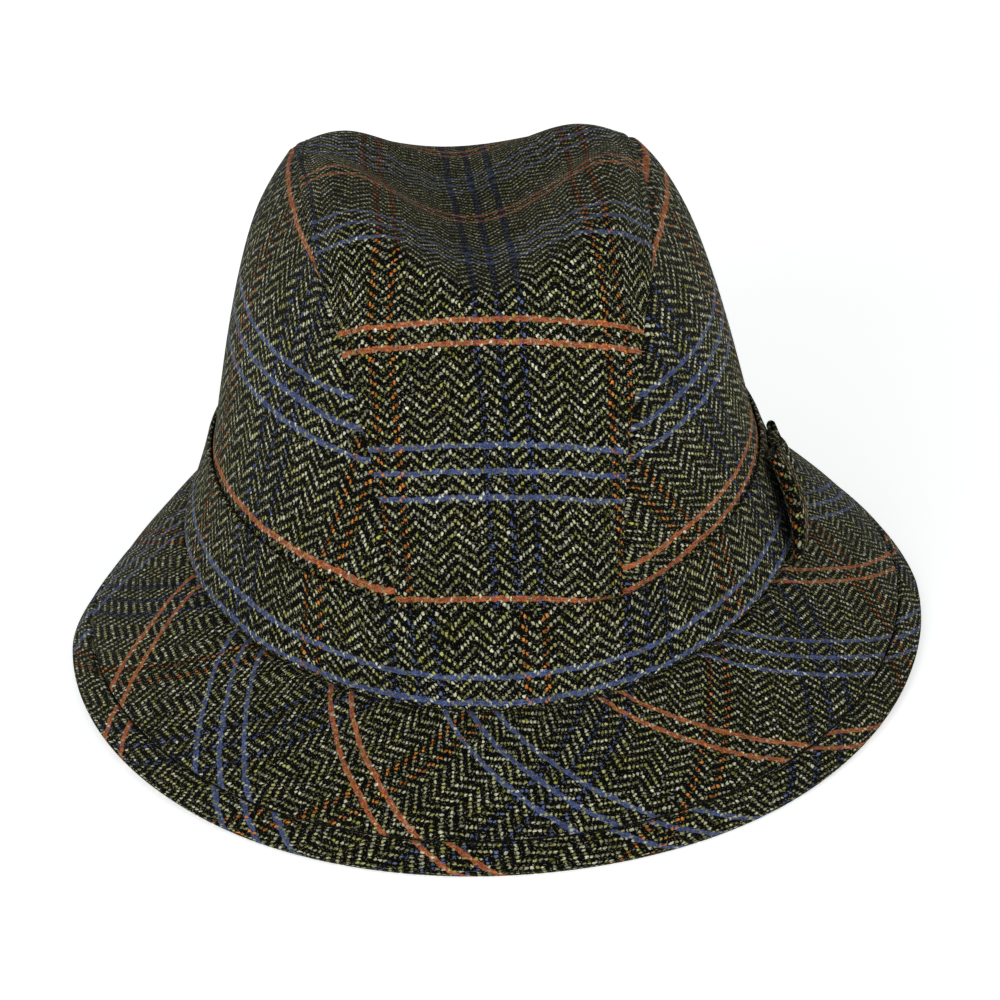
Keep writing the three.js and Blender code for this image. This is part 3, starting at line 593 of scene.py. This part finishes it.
def add_node(tree, kind, inputs=None, output=0, **settings):
    """Adds a node, sets it up, sets or links its inputs, and gives one of its outputs."""
    node = tree.nodes.new(kind)
    for key, value in settings.items():
        setattr(node, key, value)
    for key, value in (inputs or {}).items():
        if isinstance(value, bpy.types.NodeSocket):
            tree.links.new(value, node.inputs[key])
        else:
            node.inputs[key].default_value = value
    return node.outputs[output] if len(node.outputs) else node


def woven_tweed(name):
    """Wool tweed, woven in a two-and-two herringbone of light warp and dark weft with a blue and
    orange overcheck, milled soft: matt, with a faint pale bloom at grazing angles and no shine."""
    found = bpy.data.materials.get(name)
    if found:
        return found
    size = sizes()
    colour = bpy.context.scene.trilby_colours
    material = bpy.data.materials.new(name)
    material.use_nodes = True
    tree = material.node_tree
    tree.nodes.clear()
    add = partial(add_node, tree)
    math_node = "ShaderNodeMath"
    blend = {"output": 2, "data_type": "RGBA"}
    shading = {**blend, "blend_type": "MULTIPLY"}

    # The place in the cloth in mm, with the slight wander of hand-eased yarns
    place = add("ShaderNodeUVMap", uv_map=UV_NAME)
    wander = add("ShaderNodeTexNoise", {"Vector": place, "Scale": 0.06, "Detail": 1.0}, output=1)
    sway = add("ShaderNodeVectorMath", {0: wander, 1: (0.5, 0.5, 0.5)}, operation="SUBTRACT")
    sway = add("ShaderNodeVectorMath", {0: sway, 1: (1.4, 1.4, 0.0)}, operation="MULTIPLY")
    place = add("ShaderNodeVectorMath", {0: place, 1: sway}, operation="ADD")
    jitter = add("ShaderNodeTexNoise", {"Vector": place, "Scale": 0.9, "Detail": 2.0}, output=1)
    jitter = add("ShaderNodeVectorMath", {0: jitter, 1: (0.5, 0.5, 0.5)}, operation="SUBTRACT")
    jitter = add("ShaderNodeVectorMath", {0: jitter, 1: (1.3, 1.5, 0.0)}, operation="MULTIPLY")
    place = add("ShaderNodeVectorMath", {0: place, 1: jitter}, operation="ADD")
    across = add("ShaderNodeSeparateXYZ", {0: place})
    up = across.node.outputs[1]

    # Which end and pick this is, and the place inside the thread
    end = add(math_node, {0: across, 1: size["warp_pitch"]}, operation="DIVIDE")
    pick = add(math_node, {0: up, 1: size["weft_pitch"]}, operation="DIVIDE")
    end_number = add(math_node, {0: end}, operation="FLOOR")
    pick_number = add(math_node, {0: pick}, operation="FLOOR")
    end_place = add(math_node, {0: end}, operation="FRACT")
    pick_place = add(math_node, {0: pick}, operation="FRACT")

    # The warp lies over two picks and under two, one pick further on each end: a point twill
    zigzag = add(math_node, {0: end_number, 1: REVERSE_EVERY}, operation="PINGPONG")
    floats = add(math_node, {0: pick, 1: zigzag}, operation="SUBTRACT")
    floats = add(math_node, {0: floats, 1: 4.0}, operation="DIVIDE")
    float_number = add(math_node, {0: floats}, operation="FLOOR")
    float_place = add(math_node, {0: floats}, operation="FRACT")
    over_y = add(math_node, {0: float_place, 1: 5.4, 2: -1.35}, operation="MULTIPLY_ADD")
    over_y = add(math_node, {0: over_y}, operation="ABSOLUTE")
    over_y = add(math_node, {0: over_y, 1: 2.5}, operation="POWER")
    over_x = add(math_node, {0: end_place, 1: 2.0, 2: -1.0}, operation="MULTIPLY_ADD")
    over_x = add(math_node, {0: over_x, 1: over_x}, operation="MULTIPLY")
    reach = add(math_node, {0: over_x, 1: over_y}, operation="ADD")
    fleck = add("ShaderNodeMapRange", {0: reach, 1: 0.9, 2: 0.2, 3: 0.0, 4: 1.0})

    # The overcheck: ends and picks of blue and of orange
    warp_check = add(math_node, {0: end_number, 1: 0.5}, operation="ADD")
    warp_check = add(math_node, {0: warp_check, 1: WARP_REPEAT / 2}, operation="PINGPONG")
    weft_check = add(math_node, {0: pick_number, 1: 0.5}, operation="ADD")
    weft_check = add(math_node, {0: weft_check, 1: WEFT_REPEAT / 2}, operation="PINGPONG")
    warp_mid = add(math_node, {0: warp_check, 1: 1.0}, operation="LESS_THAN")
    warp_out = add(math_node, {0: warp_check, 1: 7.0, 2: 0.6}, operation="COMPARE")
    warp_blue = add(math_node, {0: warp_mid, 1: warp_out}, operation="ADD")
    warp_orange = add(math_node, {0: warp_check, 1: 33.0, 2: 0.6}, operation="COMPARE")
    weft_orange = add(math_node, {0: weft_check, 1: 4.0, 2: 0.8}, operation="COMPARE")
    weft_mid = add(math_node, {0: weft_check, 1: 47.0}, operation="GREATER_THAN")
    weft_out = add(math_node, {0: weft_check, 1: 39.0, 2: 0.6}, operation="COMPARE")
    weft_blue = add(math_node, {0: weft_mid, 1: weft_out}, operation="ADD")

    # Each float of warp has its own shade of cream, straw or grey
    key = add("ShaderNodeCombineXYZ", {0: end_number, 1: float_number})
    chance = add("ShaderNodeTexWhiteNoise", {0: key}, noise_dimensions="3D")
    tone = add("ShaderNodeMix", {
        0: chance, 6: tuple(colour.warp_straw), 7: tuple(colour.warp_light)}, **blend)
    second = add("ShaderNodeTexWhiteNoise", {0: chance.node.outputs[1]}, noise_dimensions="3D")
    shade = add("ShaderNodeMapRange", {0: second, 3: 0.35, 4: 1.6})
    warp = add("ShaderNodeMix", {0: warp_blue, 6: tone, 7: tuple(colour.blue)}, **blend)
    warp = add("ShaderNodeMix", {0: warp_orange, 6: warp, 7: tuple(colour.warp_orange)}, **blend)
    warp = add("ShaderNodeMix", {0: 1.0, 6: warp, 7: shade}, **shading)
    weft = add("ShaderNodeMix", {
        0: weft_blue, 6: tuple(colour.weft_dark), 7: tuple(colour.blue)}, **blend)
    weft = add("ShaderNodeMix", {0: weft_orange, 6: weft, 7: tuple(colour.orange)}, **blend)
    blotch = add("ShaderNodeTexNoise", {"Vector": place, "Scale": 0.7, "Detail": 3.0})
    blotch = add("ShaderNodeMapRange", {0: blotch, 1: 0.35, 2: 0.65, 3: 0.5, 4: 1.1})
    weft = add("ShaderNodeMix", {0: 1.0, 6: weft, 7: blotch}, **shading)
    # Painted shade: each weft pick is darkened toward its edges, where it dips beside its neighbours, and
    # less so on the overcheck picks
    round_pick = add(math_node, {0: pick_place, 1: 2.0, 2: -1.0}, operation="MULTIPLY_ADD")
    round_pick = add(math_node, {0: round_pick, 1: round_pick}, operation="MULTIPLY")
    marked = add(math_node, {0: weft_orange, 1: weft_blue}, operation="MAXIMUM")
    painted_gap_shade = add("ShaderNodeMapRange", {0: marked, 3: 0.45, 4: 0.85})
    painted_pick_shade = add("ShaderNodeMapRange", {0: round_pick, 3: 1.1, 4: painted_gap_shade})
    weft = add("ShaderNodeMix", {0: 1.0, 6: weft, 7: painted_pick_shade}, **shading)

    # The warp shows where it floats over the weft
    cloth = add("ShaderNodeMix", {0: fleck, 6: weft, 7: warp}, **blend)

    # Stray light hairs and neps that the milling has brought up between the floats
    neps = add("ShaderNodeTexNoise", {"Vector": place, "Scale": 1.9, "Detail": 1.0})
    neps = add("ShaderNodeMapRange", {0: neps, 1: 0.6, 2: 0.72, 3: 0.0, 4: 0.6})
    cloth = add("ShaderNodeMix", {0: neps, 6: cloth, 7: tone}, **blend)
    grain = add("ShaderNodeTexNoise", {"Vector": place, "Scale": 2.6, "Detail": 3.0})
    grain = add("ShaderNodeMapRange", {0: grain, 1: 0.32, 2: 0.68, 3: 0.35, 4: 1.65})
    cloth = add("ShaderNodeMix", {0: 1.0, 6: cloth, 7: grain}, **shading)

    # Broad unevenness of the milled wool
    cloud = add("ShaderNodeTexNoise", {"Vector": place, "Scale": 0.12, "Detail": 3.0})
    cloud = add("ShaderNodeMapRange", {0: cloud, 1: 0.3, 2: 0.7, 3: 0.82, 4: 1.15})
    cloth = add("ShaderNodeMix", {0: 1.0, 6: cloth, 7: cloud}, **shading)

    fibre = add("ShaderNodeTexNoise", {"Vector": place, "Scale": 3.0, "Detail": 2.0})
    height = add(math_node, {0: round_pick, 1: -0.4, 2: fleck}, operation="MULTIPLY_ADD")
    height = add(math_node, {0: fibre, 1: 0.5, 2: height}, operation="MULTIPLY_ADD")
    bump = add("ShaderNodeBump", {"Strength": 0.5, "Distance": 0.0003, "Height": height})
    shader = add("ShaderNodeBsdfPrincipled", {
        "Base Color": cloth, "Roughness": 0.95, "Specular IOR Level": 0.03, "Sheen Weight": 0.03,
        "Sheen Roughness": 0.5, "Normal": bump})
    add("ShaderNodeOutputMaterial", {0: shader})
    return material


def spun_thread(name):
    """Spun sewing thread, dyed dark, twisted from fine plies: matt with a fine slanting bump."""
    material = bpy.data.materials.new(name)
    material.use_nodes = True
    tree = material.node_tree
    tree.nodes.clear()
    add = partial(add_node, tree)
    place = add("ShaderNodeTexCoord", output=3)
    plies = add("ShaderNodeTexWave", {"Vector": place, "Scale": 900.0, "Distortion": 1.0})
    dark = tuple(bpy.context.scene.trilby_colours.thread)
    tone = add("ShaderNodeMapRange", {0: plies, 3: 0.6, 4: 1.2})
    colour = add("ShaderNodeMix", {0: 1.0, 6: dark, 7: tone},
                      output=2, data_type="RGBA", blend_type="MULTIPLY")
    bump = add("ShaderNodeBump", {"Strength": 0.3, "Distance": 0.0001, "Height": plies})
    shader = add("ShaderNodeBsdfPrincipled", {
        "Base Color": colour, "Roughness": 0.8, "Specular IOR Level": 0.25, "Normal": bump})
    add("ShaderNodeOutputMaterial", {0: shader})
    return material


def finish_piece(piece, slot, *nodes):
    """Gives a piece of cloth its weave and its body, and hides the solids that it stands for. Its slot is
    not used.
    """
    piece.data.materials.append(woven_tweed("Woven herringbone tweed"))
    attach(piece, "root")
    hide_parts(*nodes)
    return piece


def grid_of(count_u, count_v):
    """Shares along and up a regular grid, as two tables."""
    return np.meshgrid(np.linspace(0, 1, count_u), np.linspace(0, 1, count_v), indexing="xy")


class TRILBY_OT_crown(bpy.types.Operator):
    """Build the centre panel and the two side panels of the crown"""

    bl_idname = "trilby.crown"
    bl_label = "Crown panels"

    def execute(self, context):
        size = sizes()
        hat = Hat(size)
        middle = Vector((0, 0, 0.08))

        fine_t, fine_a = grid_of(1041, 321)
        table = hat.centre(fine_t * LAST, fine_a * 2 - 1)
        climb = arc_lengths(table)
        level = arc_lengths(table.transpose(1, 0, 2)).T
        middle_line = np.array([np.interp(0, table[:, i, 0], level[:, i]) for i in range(table.shape[1])])
        level = level - middle_line
        up = climb[len(climb) // 2]
        # Behind the crease the cloth is counted from the back foot instead, so its lines run level
        settled = np.clip((np.linspace(0, 1, len(up)) - SETTLE_FROM) / SETTLE_OVER, 0, 1)
        settled = settled * settled * (3 - 2 * settled)
        climb = (1 - settled) * climb + settled * (up[-1] + climb - climb[:, -1:])

        def centre_place(a, b):
            t = np.interp(b * up[-1], up, np.linspace(0, LAST, len(up)))
            share = crowded(a, CENTRE_CROWD)
            lateral = look_up(level, t / LAST, share)
            left = look_up(level, t / LAST, np.zeros_like(t))
            right = look_up(level, t / LAST, np.ones_like(t))
            inside = np.minimum(lateral - left, right - lateral)
            stitched = TOPSTITCH_SINK * np.exp(-((inside - TOPSTITCH_IN) / TOPSTITCH_SOFT) ** 2)
            points = sunk(hat.centre(t, share * 2 - 1), inside, stitched)
            return points, np.stack([lateral, look_up(climb, t / LAST, share)], -1)

        centre = cloth_grid("crown_centre", 130, 270, centre_place, "crown_centre")
        face_out(centre, middle)
        finish_piece(centre, "crown_cloth", "crown_centre_panel")
        solidify(centre, size["crown_cloth"])

        for hand, word in ((1, "left"), (-1, "right")):
            fine_u, fine_v = grid_of(401, 241)
            table = hat.side_point(fine_u, fine_v, hand)
            side_level = arc_lengths(table)
            halfway = side_level.shape[1] // 2
            side_level = side_level - side_level[:, halfway:halfway + 1]
            side_rise = arc_lengths(table.transpose(1, 0, 2)).T

            def side_place(a, b):
                u = crowded(a, SIDE_CROWD)
                v = SIDE_CROWD * np.sin(b * math.pi / 2) + (1 - SIDE_CROWD) * b
                # The panel's own directions, taken a little way in from its corners
                at_u = np.clip(u, 0.01, 0.99)
                at_v = np.clip(v, 0.0, 0.985)
                step = 2e-3
                along = hat.side_point(at_u + step, at_v, hand) - hat.side_point(at_u - step, at_v, hand)
                upward = (hat.side_point(at_u, np.clip(at_v + step, 0, 1), hand)
                          - hat.side_point(at_u, np.clip(at_v - step, 0, 1), hand))
                arc = look_up(side_level, u, v)
                climb = look_up(side_rise, u, v)
                front = arc - look_up(side_level, np.zeros_like(u), v)
                back = look_up(side_level, np.ones_like(u), v) - arc
                top = look_up(side_rise, u, np.ones_like(v)) - climb
                inside = np.minimum(np.minimum(front, back), top)
                tuck = SEAM_TUCK * np.exp(-(np.stack([front, back, top]) / SEAM_TUCK) ** 2)
                points = sunk(hat.side_point(u, v, hand), inside)
                points = points + unit(along) * (tuck[1] - tuck[0])[:, None]
                points = points + unit(upward) * tuck[2][:, None]
                return points * np.array([hand, 1, 1]), np.stack([arc, climb], -1)

            panel = cloth_grid(f"crown_side_{word}", 210, 110, side_place, f"crown_side_{word}")
            face_out(panel, middle)
            finish_piece(panel, "crown_cloth", f"crown_side_panel_{word}")
            solidify(panel, size["crown_cloth"])
        return {"FINISHED"}


class TRILBY_OT_topstitch(bpy.types.Operator):
    """Build the rows of stitches beside the crown's two long seams"""

    bl_idname = "trilby.topstitch"
    bl_label = "Topstitching"

    def execute(self, context):
        hat = Hat(sizes())
        bm = bmesh.new()
        fine = np.linspace(0.9, LAST - 0.9, 900)
        for hand in (-1, 1):
            near = np.linspace(0.7, 1, 60)
            rows = hat.centre(fine[:, None], hand * near[None, :])
            arc = arc_lengths(rows)
            share = np.array([np.interp(arc[i, -1] - TOPSTITCH_IN, arc[i], near) for i in range(len(fine))])
            line = hat.centre(fine, hand * share)
            sideways = line - hat.centre(fine, hand * (share - 0.02))
            along = np.gradient(line, axis=0)
            out = unit(np.cross(along, sideways)) * -hand
            out = out * np.sign((out * (line - CROWN_HEART)).sum(axis=-1))[:, None]
            way = arc_lengths(line[None])[0]
            for at in np.arange(STITCH_STEP, way[-1], STITCH_STEP):
                i = int(np.searchsorted(way, at))
                ahead = Vector(unit(along[i]))
                lift = Vector(out[i])
                turn = lift.to_track_quat("Z", "Y")
                turn = Vector((turn @ Vector((1, 0, 0)))).rotation_difference(ahead) @ turn
                made = bmesh.ops.create_uvsphere(
                    bm, u_segments=8, v_segments=6, radius=STITCH_RADIUS * MM)["verts"]
                bmesh.ops.scale(bm, vec=STITCH_SHAPE, verts=made)
                bmesh.ops.rotate(bm, matrix=turn.to_matrix(), verts=made)
                point = line[i] - out[i] * (TOPSTITCH_SINK - TOPSTITCH_PROUD) + np.array(FRAME_SHIFT)
                bmesh.ops.translate(bm, vec=Vector(point * MM), verts=made)
        mesh = bpy.data.meshes.new("crown_topstitching")
        bm.to_mesh(mesh)
        bm.free()
        mesh.shade_smooth()
        stitches = bpy.data.objects.new("crown_topstitching", mesh)
        context.scene.collection.objects.link(stitches)
        mesh.materials.append(spun_thread("Spun sewing thread"))
        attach(stitches, "root")
        return {"FINISHED"}


class TRILBY_OT_brim(bpy.types.Operator):
    """Build the brim's upper cloth and its under cloth, which turns up over the edge"""

    bl_idname = "trilby.brim"
    bl_label = "Brim"

    def execute(self, context):
        size = sizes()
        hat = Hat(size)
        back = math.pi / 2
        angles = np.linspace(back, back + 2 * math.pi, 1441)
        _, rim, top, collar, _ = hat.brim_lines(angles)
        foot = collar(0, 0)
        foot_arc = arc_lengths(foot[None])[0]
        foot_arc = foot_arc - foot_arc[len(foot_arc) // 2]
        wide = np.linalg.norm(rim - foot, axis=1)
        rim_length = np.linalg.norm(np.diff(rim, axis=0), axis=1).sum()
        edge = 1 - EDGE_STRIP
        cloth_thickness = size["brim_cloth"]
        second = 2 * cloth_thickness + LAYER_GAP

        # Lines round the brim from the collar outward, each with its way along the cloth as a share
        # of the brim's width. A line has its share of that width and its depth under the top in mm.
        def upper_lines(angle):
            _, _, top, collar, _ = hat.brim_lines(angle)
            return [
                (collar(-COLLAR_IN, 0), -0.05), (collar(COLLAR_OUT - 0.8, 0), 0.05),
                (top(0.07, 0), 0.12), (top(0.42, 0), 0.46),
                (top(edge - 0.06, 0), edge - 0.05), (top(edge - 0.02, 0.1), edge - 0.015),
                (top(edge, GROOVE_DEPTH + 0.3), edge + 0.005),
                (top(edge + 0.002, cloth_thickness), edge + 0.02)]

        def under_lines(angle):
            lift, rim, top, collar, level = hat.brim_lines(angle)
            lifted = lambda points, z: np.concatenate([points[..., :2], z[..., None]], -1)
            outermost = lifted(rim + level * ROLL, lift + cloth_thickness + 0.2)
            rest_outer = lifted(rim + level * 0.3, lift)
            rest_inner = rest_outer - level * REST_FACE
            return [
                (collar(-COLLAR_IN, second), -0.05), (collar(COLLAR_OUT - 2, second), 0.05),
                (top(0.1, second), 0.15), (top(0.42, second), 0.45), (top(0.85, second), 0.85),
                (rest_inner, 1.16), (rest_outer, 1.12), (outermost, 1.05), (top(1, 0.2), 1.0),
                (top(0.95, -0.25), 0.95), (top(edge + 0.04, -0.1), edge + 0.045),
                (top(edge + 0.012, 0.25), edge + 0.015), (top(edge + 0.004, GROOVE_DEPTH + 0.5), edge)]

        def ring_place(lines):
            def place(a, b):
                controls, ways = zip(*lines(back + a * 2 * math.pi))
                share = np.interp(b, path_knots(controls), ways)
                shares = np.linspace(0, 1, len(angles))
                cloth = [np.interp(a, shares, foot_arc), share * np.interp(a, shares, wide)]
                return smooth_path(controls, b), np.stack(cloth, -1)
            return place

        upper = cloth_grid("brim_top", 420, 36, ring_place(upper_lines), "brim_top", closed=True)
        under = cloth_grid(
            "brim_under_and_edge", 420, 70, ring_place(under_lines), "brim_under", closed=True)
        if upper.data.polygons[200].normal.z < 0:
            upper.data.flip_normals()
        lowest = min(under.data.polygons, key=lambda f: f.center.z)
        if lowest.normal.z > 0:
            under.data.flip_normals()
        finish_piece(upper, "brim_cloth", "brim_upper")
        finish_piece(under, "brim_cloth", "brim_under")
        solidify(upper, cloth_thickness)
        solidify(under, cloth_thickness)
        return {"FINISHED"}


class TRILBY_OT_band(bpy.types.Operator):
    """Build the band round the crown's foot"""

    bl_idname = "trilby.band"
    bl_label = "Band"

    def execute(self, context):
        size = sizes()
        hat = Hat(size)
        angles = np.linspace(BAND_START, BAND_START + 4, 1601)
        line = hat.band_place(angles, np.full(angles.shape, 0.5))
        arc = arc_lengths(line[None])[0]
        front = np.interp(BAND_FRONT, angles, arc)
        shares = np.linspace(0, 1, len(BAND_SECTION["up"]))
        section = {name: through(shares, values) for name, values in BAND_SECTION.items()}

        def place(a, b):
            around = np.interp(a * arc[-1], arc, angles)
            points = hat.off_band(around, section["up"](b), section["off"](b))
            return points, np.stack([a * arc[-1] - front, section["high"](b)], -1)

        band = cloth_grid("band", 420, 44, place, "band", closed=True)
        face_out(band, Vector((0, 0, 0.05)))
        finish_piece(band, "band_cloth", "hat_band")
        solidify(band, size["band_cloth"] - BAND_TRIM)
        return {"FINISHED"}


class TRILBY_OT_bow(bpy.types.Operator):
    """Build the flat bow on the wearer's left and the wrap round its middle"""

    bl_idname = "trilby.bow"
    bl_label = "Bow and knot"

    def execute(self, context):
        size = sizes()
        hat = Hat(size)
        cloth = size["bow_cloth"]
        outer_floor = 2 * BOW_FLOOR + cloth
        steps = np.linspace(0, BOW_REACH, 13)
        fold_floor = (outer_floor + BOW_FLOOR) / 2
        fold_rise = (hat.bow["outer"](BOW_REACH) + hat.bow["inner"](BOW_REACH)) / 2
        back = np.array((0.5, 0.9)) * -BOW_BACK
        rows = [
            *((at, outer_floor, float(hat.bow["outer"](at))) for at in steps),
            (1.0, fold_floor, float(fold_rise)),
            *((at, BOW_FLOOR, float(hat.bow["inner"](at))) for at in steps[::-1]),
            *((at, BOW_FLOOR, 0.0) for at in back),
            (-BOW_BACK, fold_floor, 0.0),
            *((at, outer_floor, 0.0) for at in back[::-1]),
            (0.0, outer_floor, 0.0),
        ]

        def bow_place(a, b):
            controls = []
            for along, floor, rise in rows:
                tall = float(hat.bow["tall"](np.clip(along, 0, BOW_REACH)))
                up = BOW_CENTRE + (b - 0.5) * tall
                away = (up - BOW_SWELL_AT) / (1 - BOW_SWELL_AT)
                off = floor + rise * (1 - BOW_SWELL * away * away) + cloth / 2
                controls.append(hat.bow_place(np.full_like(b, along), up, off))
            return smooth_path(controls, a), np.stack([a * path_legs(controls).sum(), b * BAND_TALL], -1)

        bow = cloth_grid("bow", 150, 30, bow_place, "bow", closed=True)
        middle = sum((v.co for v in bow.data.vertices), Vector()) / len(bow.data.vertices)
        face_out(bow, middle)
        finish_piece(bow, "band_cloth", "band_bow")
        solidify(bow, cloth * BOW_TRIM, offset=0)

        # The wrap round the bow, from the band's lower part to its upper: share of the band's height
        # and way off its face
        face = outer_floor + cloth + KNOT_CLEAR
        wrap = ((0.085, TUCKED), (0.095, face + 0.1), (0.17, face + 0.55), (0.49, face + 0.7),
                (0.72, face + 0.4), (0.8, face - 0.6), (0.86, TUCKED))

        def knot_place(a, b):
            along = (a - 0.5) * size["knot_width"] / size["bow_length"]
            crease = 0.16 * np.cos(a * 6 * math.pi) - 1.1 * (2 * a - 1) ** 4
            controls = [
                hat.bow_place(along, np.full_like(a, up), np.maximum(off + crease * (off > 1), TUCKED))
                for up, off in wrap]
            return smooth_path(controls, b), np.stack([(a - 0.5) * size["knot_width"], b * BAND_TALL], -1)

        knot = cloth_grid("bow_knot", 24, 48, knot_place, "knot")
        face_out(knot, Vector((0, 0, 0.05)))
        finish_piece(knot, "band_cloth", "band_knot")
        solidify(knot, KNOT_CLOTH)
        return {"FINISHED"}


class TRILBY_OT_stage(bpy.types.Operator):
    """Build the pale floor, the soft light and the camera"""

    bl_idname = "trilby.stage"
    bl_label = "Studio"

    def execute(self, context):
        colour = context.scene.trilby_colours
        bm = bmesh.new()
        bmesh.ops.create_grid(bm, x_segments=1, y_segments=1, size=6.0)
        mesh = bpy.data.meshes.new("floor")
        bm.to_mesh(mesh)
        bm.free()
        floor = bpy.data.objects.new("floor", mesh)
        context.scene.collection.objects.link(floor)
        paper = bpy.data.materials.new("Matt paper sweep")
        paper.use_nodes = True
        shader = paper.node_tree.nodes["Principled BSDF"]
        shader.inputs["Base Color"].default_value = tuple(colour.floor)
        shader.inputs["Roughness"].default_value = 0.9
        shader.inputs["Specular IOR Level"].default_value = 0.1
        shader.inputs["Emission Color"].default_value = tuple(colour.floor)
        shader.inputs["Emission Strength"].default_value = FLOOR_GLOW
        mesh.materials.append(paper)

        world = bpy.data.worlds.new("Soft room")
        world.use_nodes = True
        background = world.node_tree.nodes["Background"]
        background.inputs[0].default_value = (1, 1, 1, 1)
        background.inputs[1].default_value = ROOM_LIGHT
        context.scene.world = world

        for name, place, width, watts in LIGHTS:
            lamp = bpy.data.lights.new(name, "AREA")
            lamp.size = width
            lamp.energy = watts
            light = bpy.data.objects.new(name, lamp)
            light.location = place
            light.rotation_mode = "QUATERNION"
            light.rotation_quaternion = (Vector(LIGHT_AIM) - Vector(place)).to_track_quat("-Z", "Y")
            context.scene.collection.objects.link(light)

        elevation, yaw, roll = (math.radians(CAMERA_ANGLES[name]) for name in ("elevation", "yaw", "roll"))
        level = math.cos(elevation)
        back = Vector((-level * math.sin(yaw), -level * math.cos(yaw), math.sin(elevation)))
        lens = bpy.data.cameras.new("camera")
        lens.sensor_width = 36
        lens.lens = CAMERA_LENS
        lens.shift_x, lens.shift_y = CAMERA_SHIFT
        camera = bpy.data.objects.new("camera", lens)
        camera.location = Vector(CAMERA_PIVOT) + back * CAMERA_DISTANCE
        camera.rotation_mode = "QUATERNION"
        camera.rotation_quaternion = (-back).to_track_quat("-Z", "Y") @ Quaternion((0, 0, 1), -roll)
        context.scene.collection.objects.link(camera)
        context.scene.camera = camera
        context.scene.view_settings.view_transform = "Standard"
        return {"FINISHED"}


class TRILBY_PT_panel(bpy.types.Panel):
    """Lists the hat's pieces, sizes and colours"""

    bl_label = "Trilby"
    bl_idname = "TRILBY_PT_panel"
    bl_space_type = "VIEW_3D"
    bl_region_type = "UI"
    bl_category = "Trilby"

    def draw(self, context):
        column = self.layout.column()
        for operator in OPERATORS:
            column.operator(operator.bl_idname)
        for group, kind in (
            (context.scene.trilby_sizes, TrilbySizes),
            (context.scene.trilby_colours, TrilbyColours),
        ):
            for name in kind.__annotations__:
                column.prop(group, name)


OPERATORS = (
    TRILBY_OT_crown, TRILBY_OT_topstitch, TRILBY_OT_brim, TRILBY_OT_band, TRILBY_OT_bow, TRILBY_OT_stage)
CLASSES = (TrilbySizes, TrilbyColours, *OPERATORS, TRILBY_PT_panel)


def register():
    """Registers the classes and puts the settings on the scene."""
    for cls in CLASSES:
        bpy.utils.register_class(cls)
    bpy.types.Scene.trilby_sizes = bpy.props.PointerProperty(type=TrilbySizes)
    bpy.types.Scene.trilby_colours = bpy.props.PointerProperty(type=TrilbyColours)


def unregister():
    """Takes the settings and the classes away again."""
    del bpy.types.Scene.trilby_colours
    del bpy.types.Scene.trilby_sizes
    for cls in reversed(CLASSES):
        bpy.utils.unregister_class(cls)


def main():
    """Builds every piece in order."""
    register()
    bpy.ops.trilby.crown()
    bpy.ops.trilby.topstitch()
    bpy.ops.trilby.brim()
    bpy.ops.trilby.band()
    bpy.ops.trilby.bow()
    bpy.ops.trilby.stage()
    bpy.context.view_layer.update()


if __name__ == "__main__":
    main()
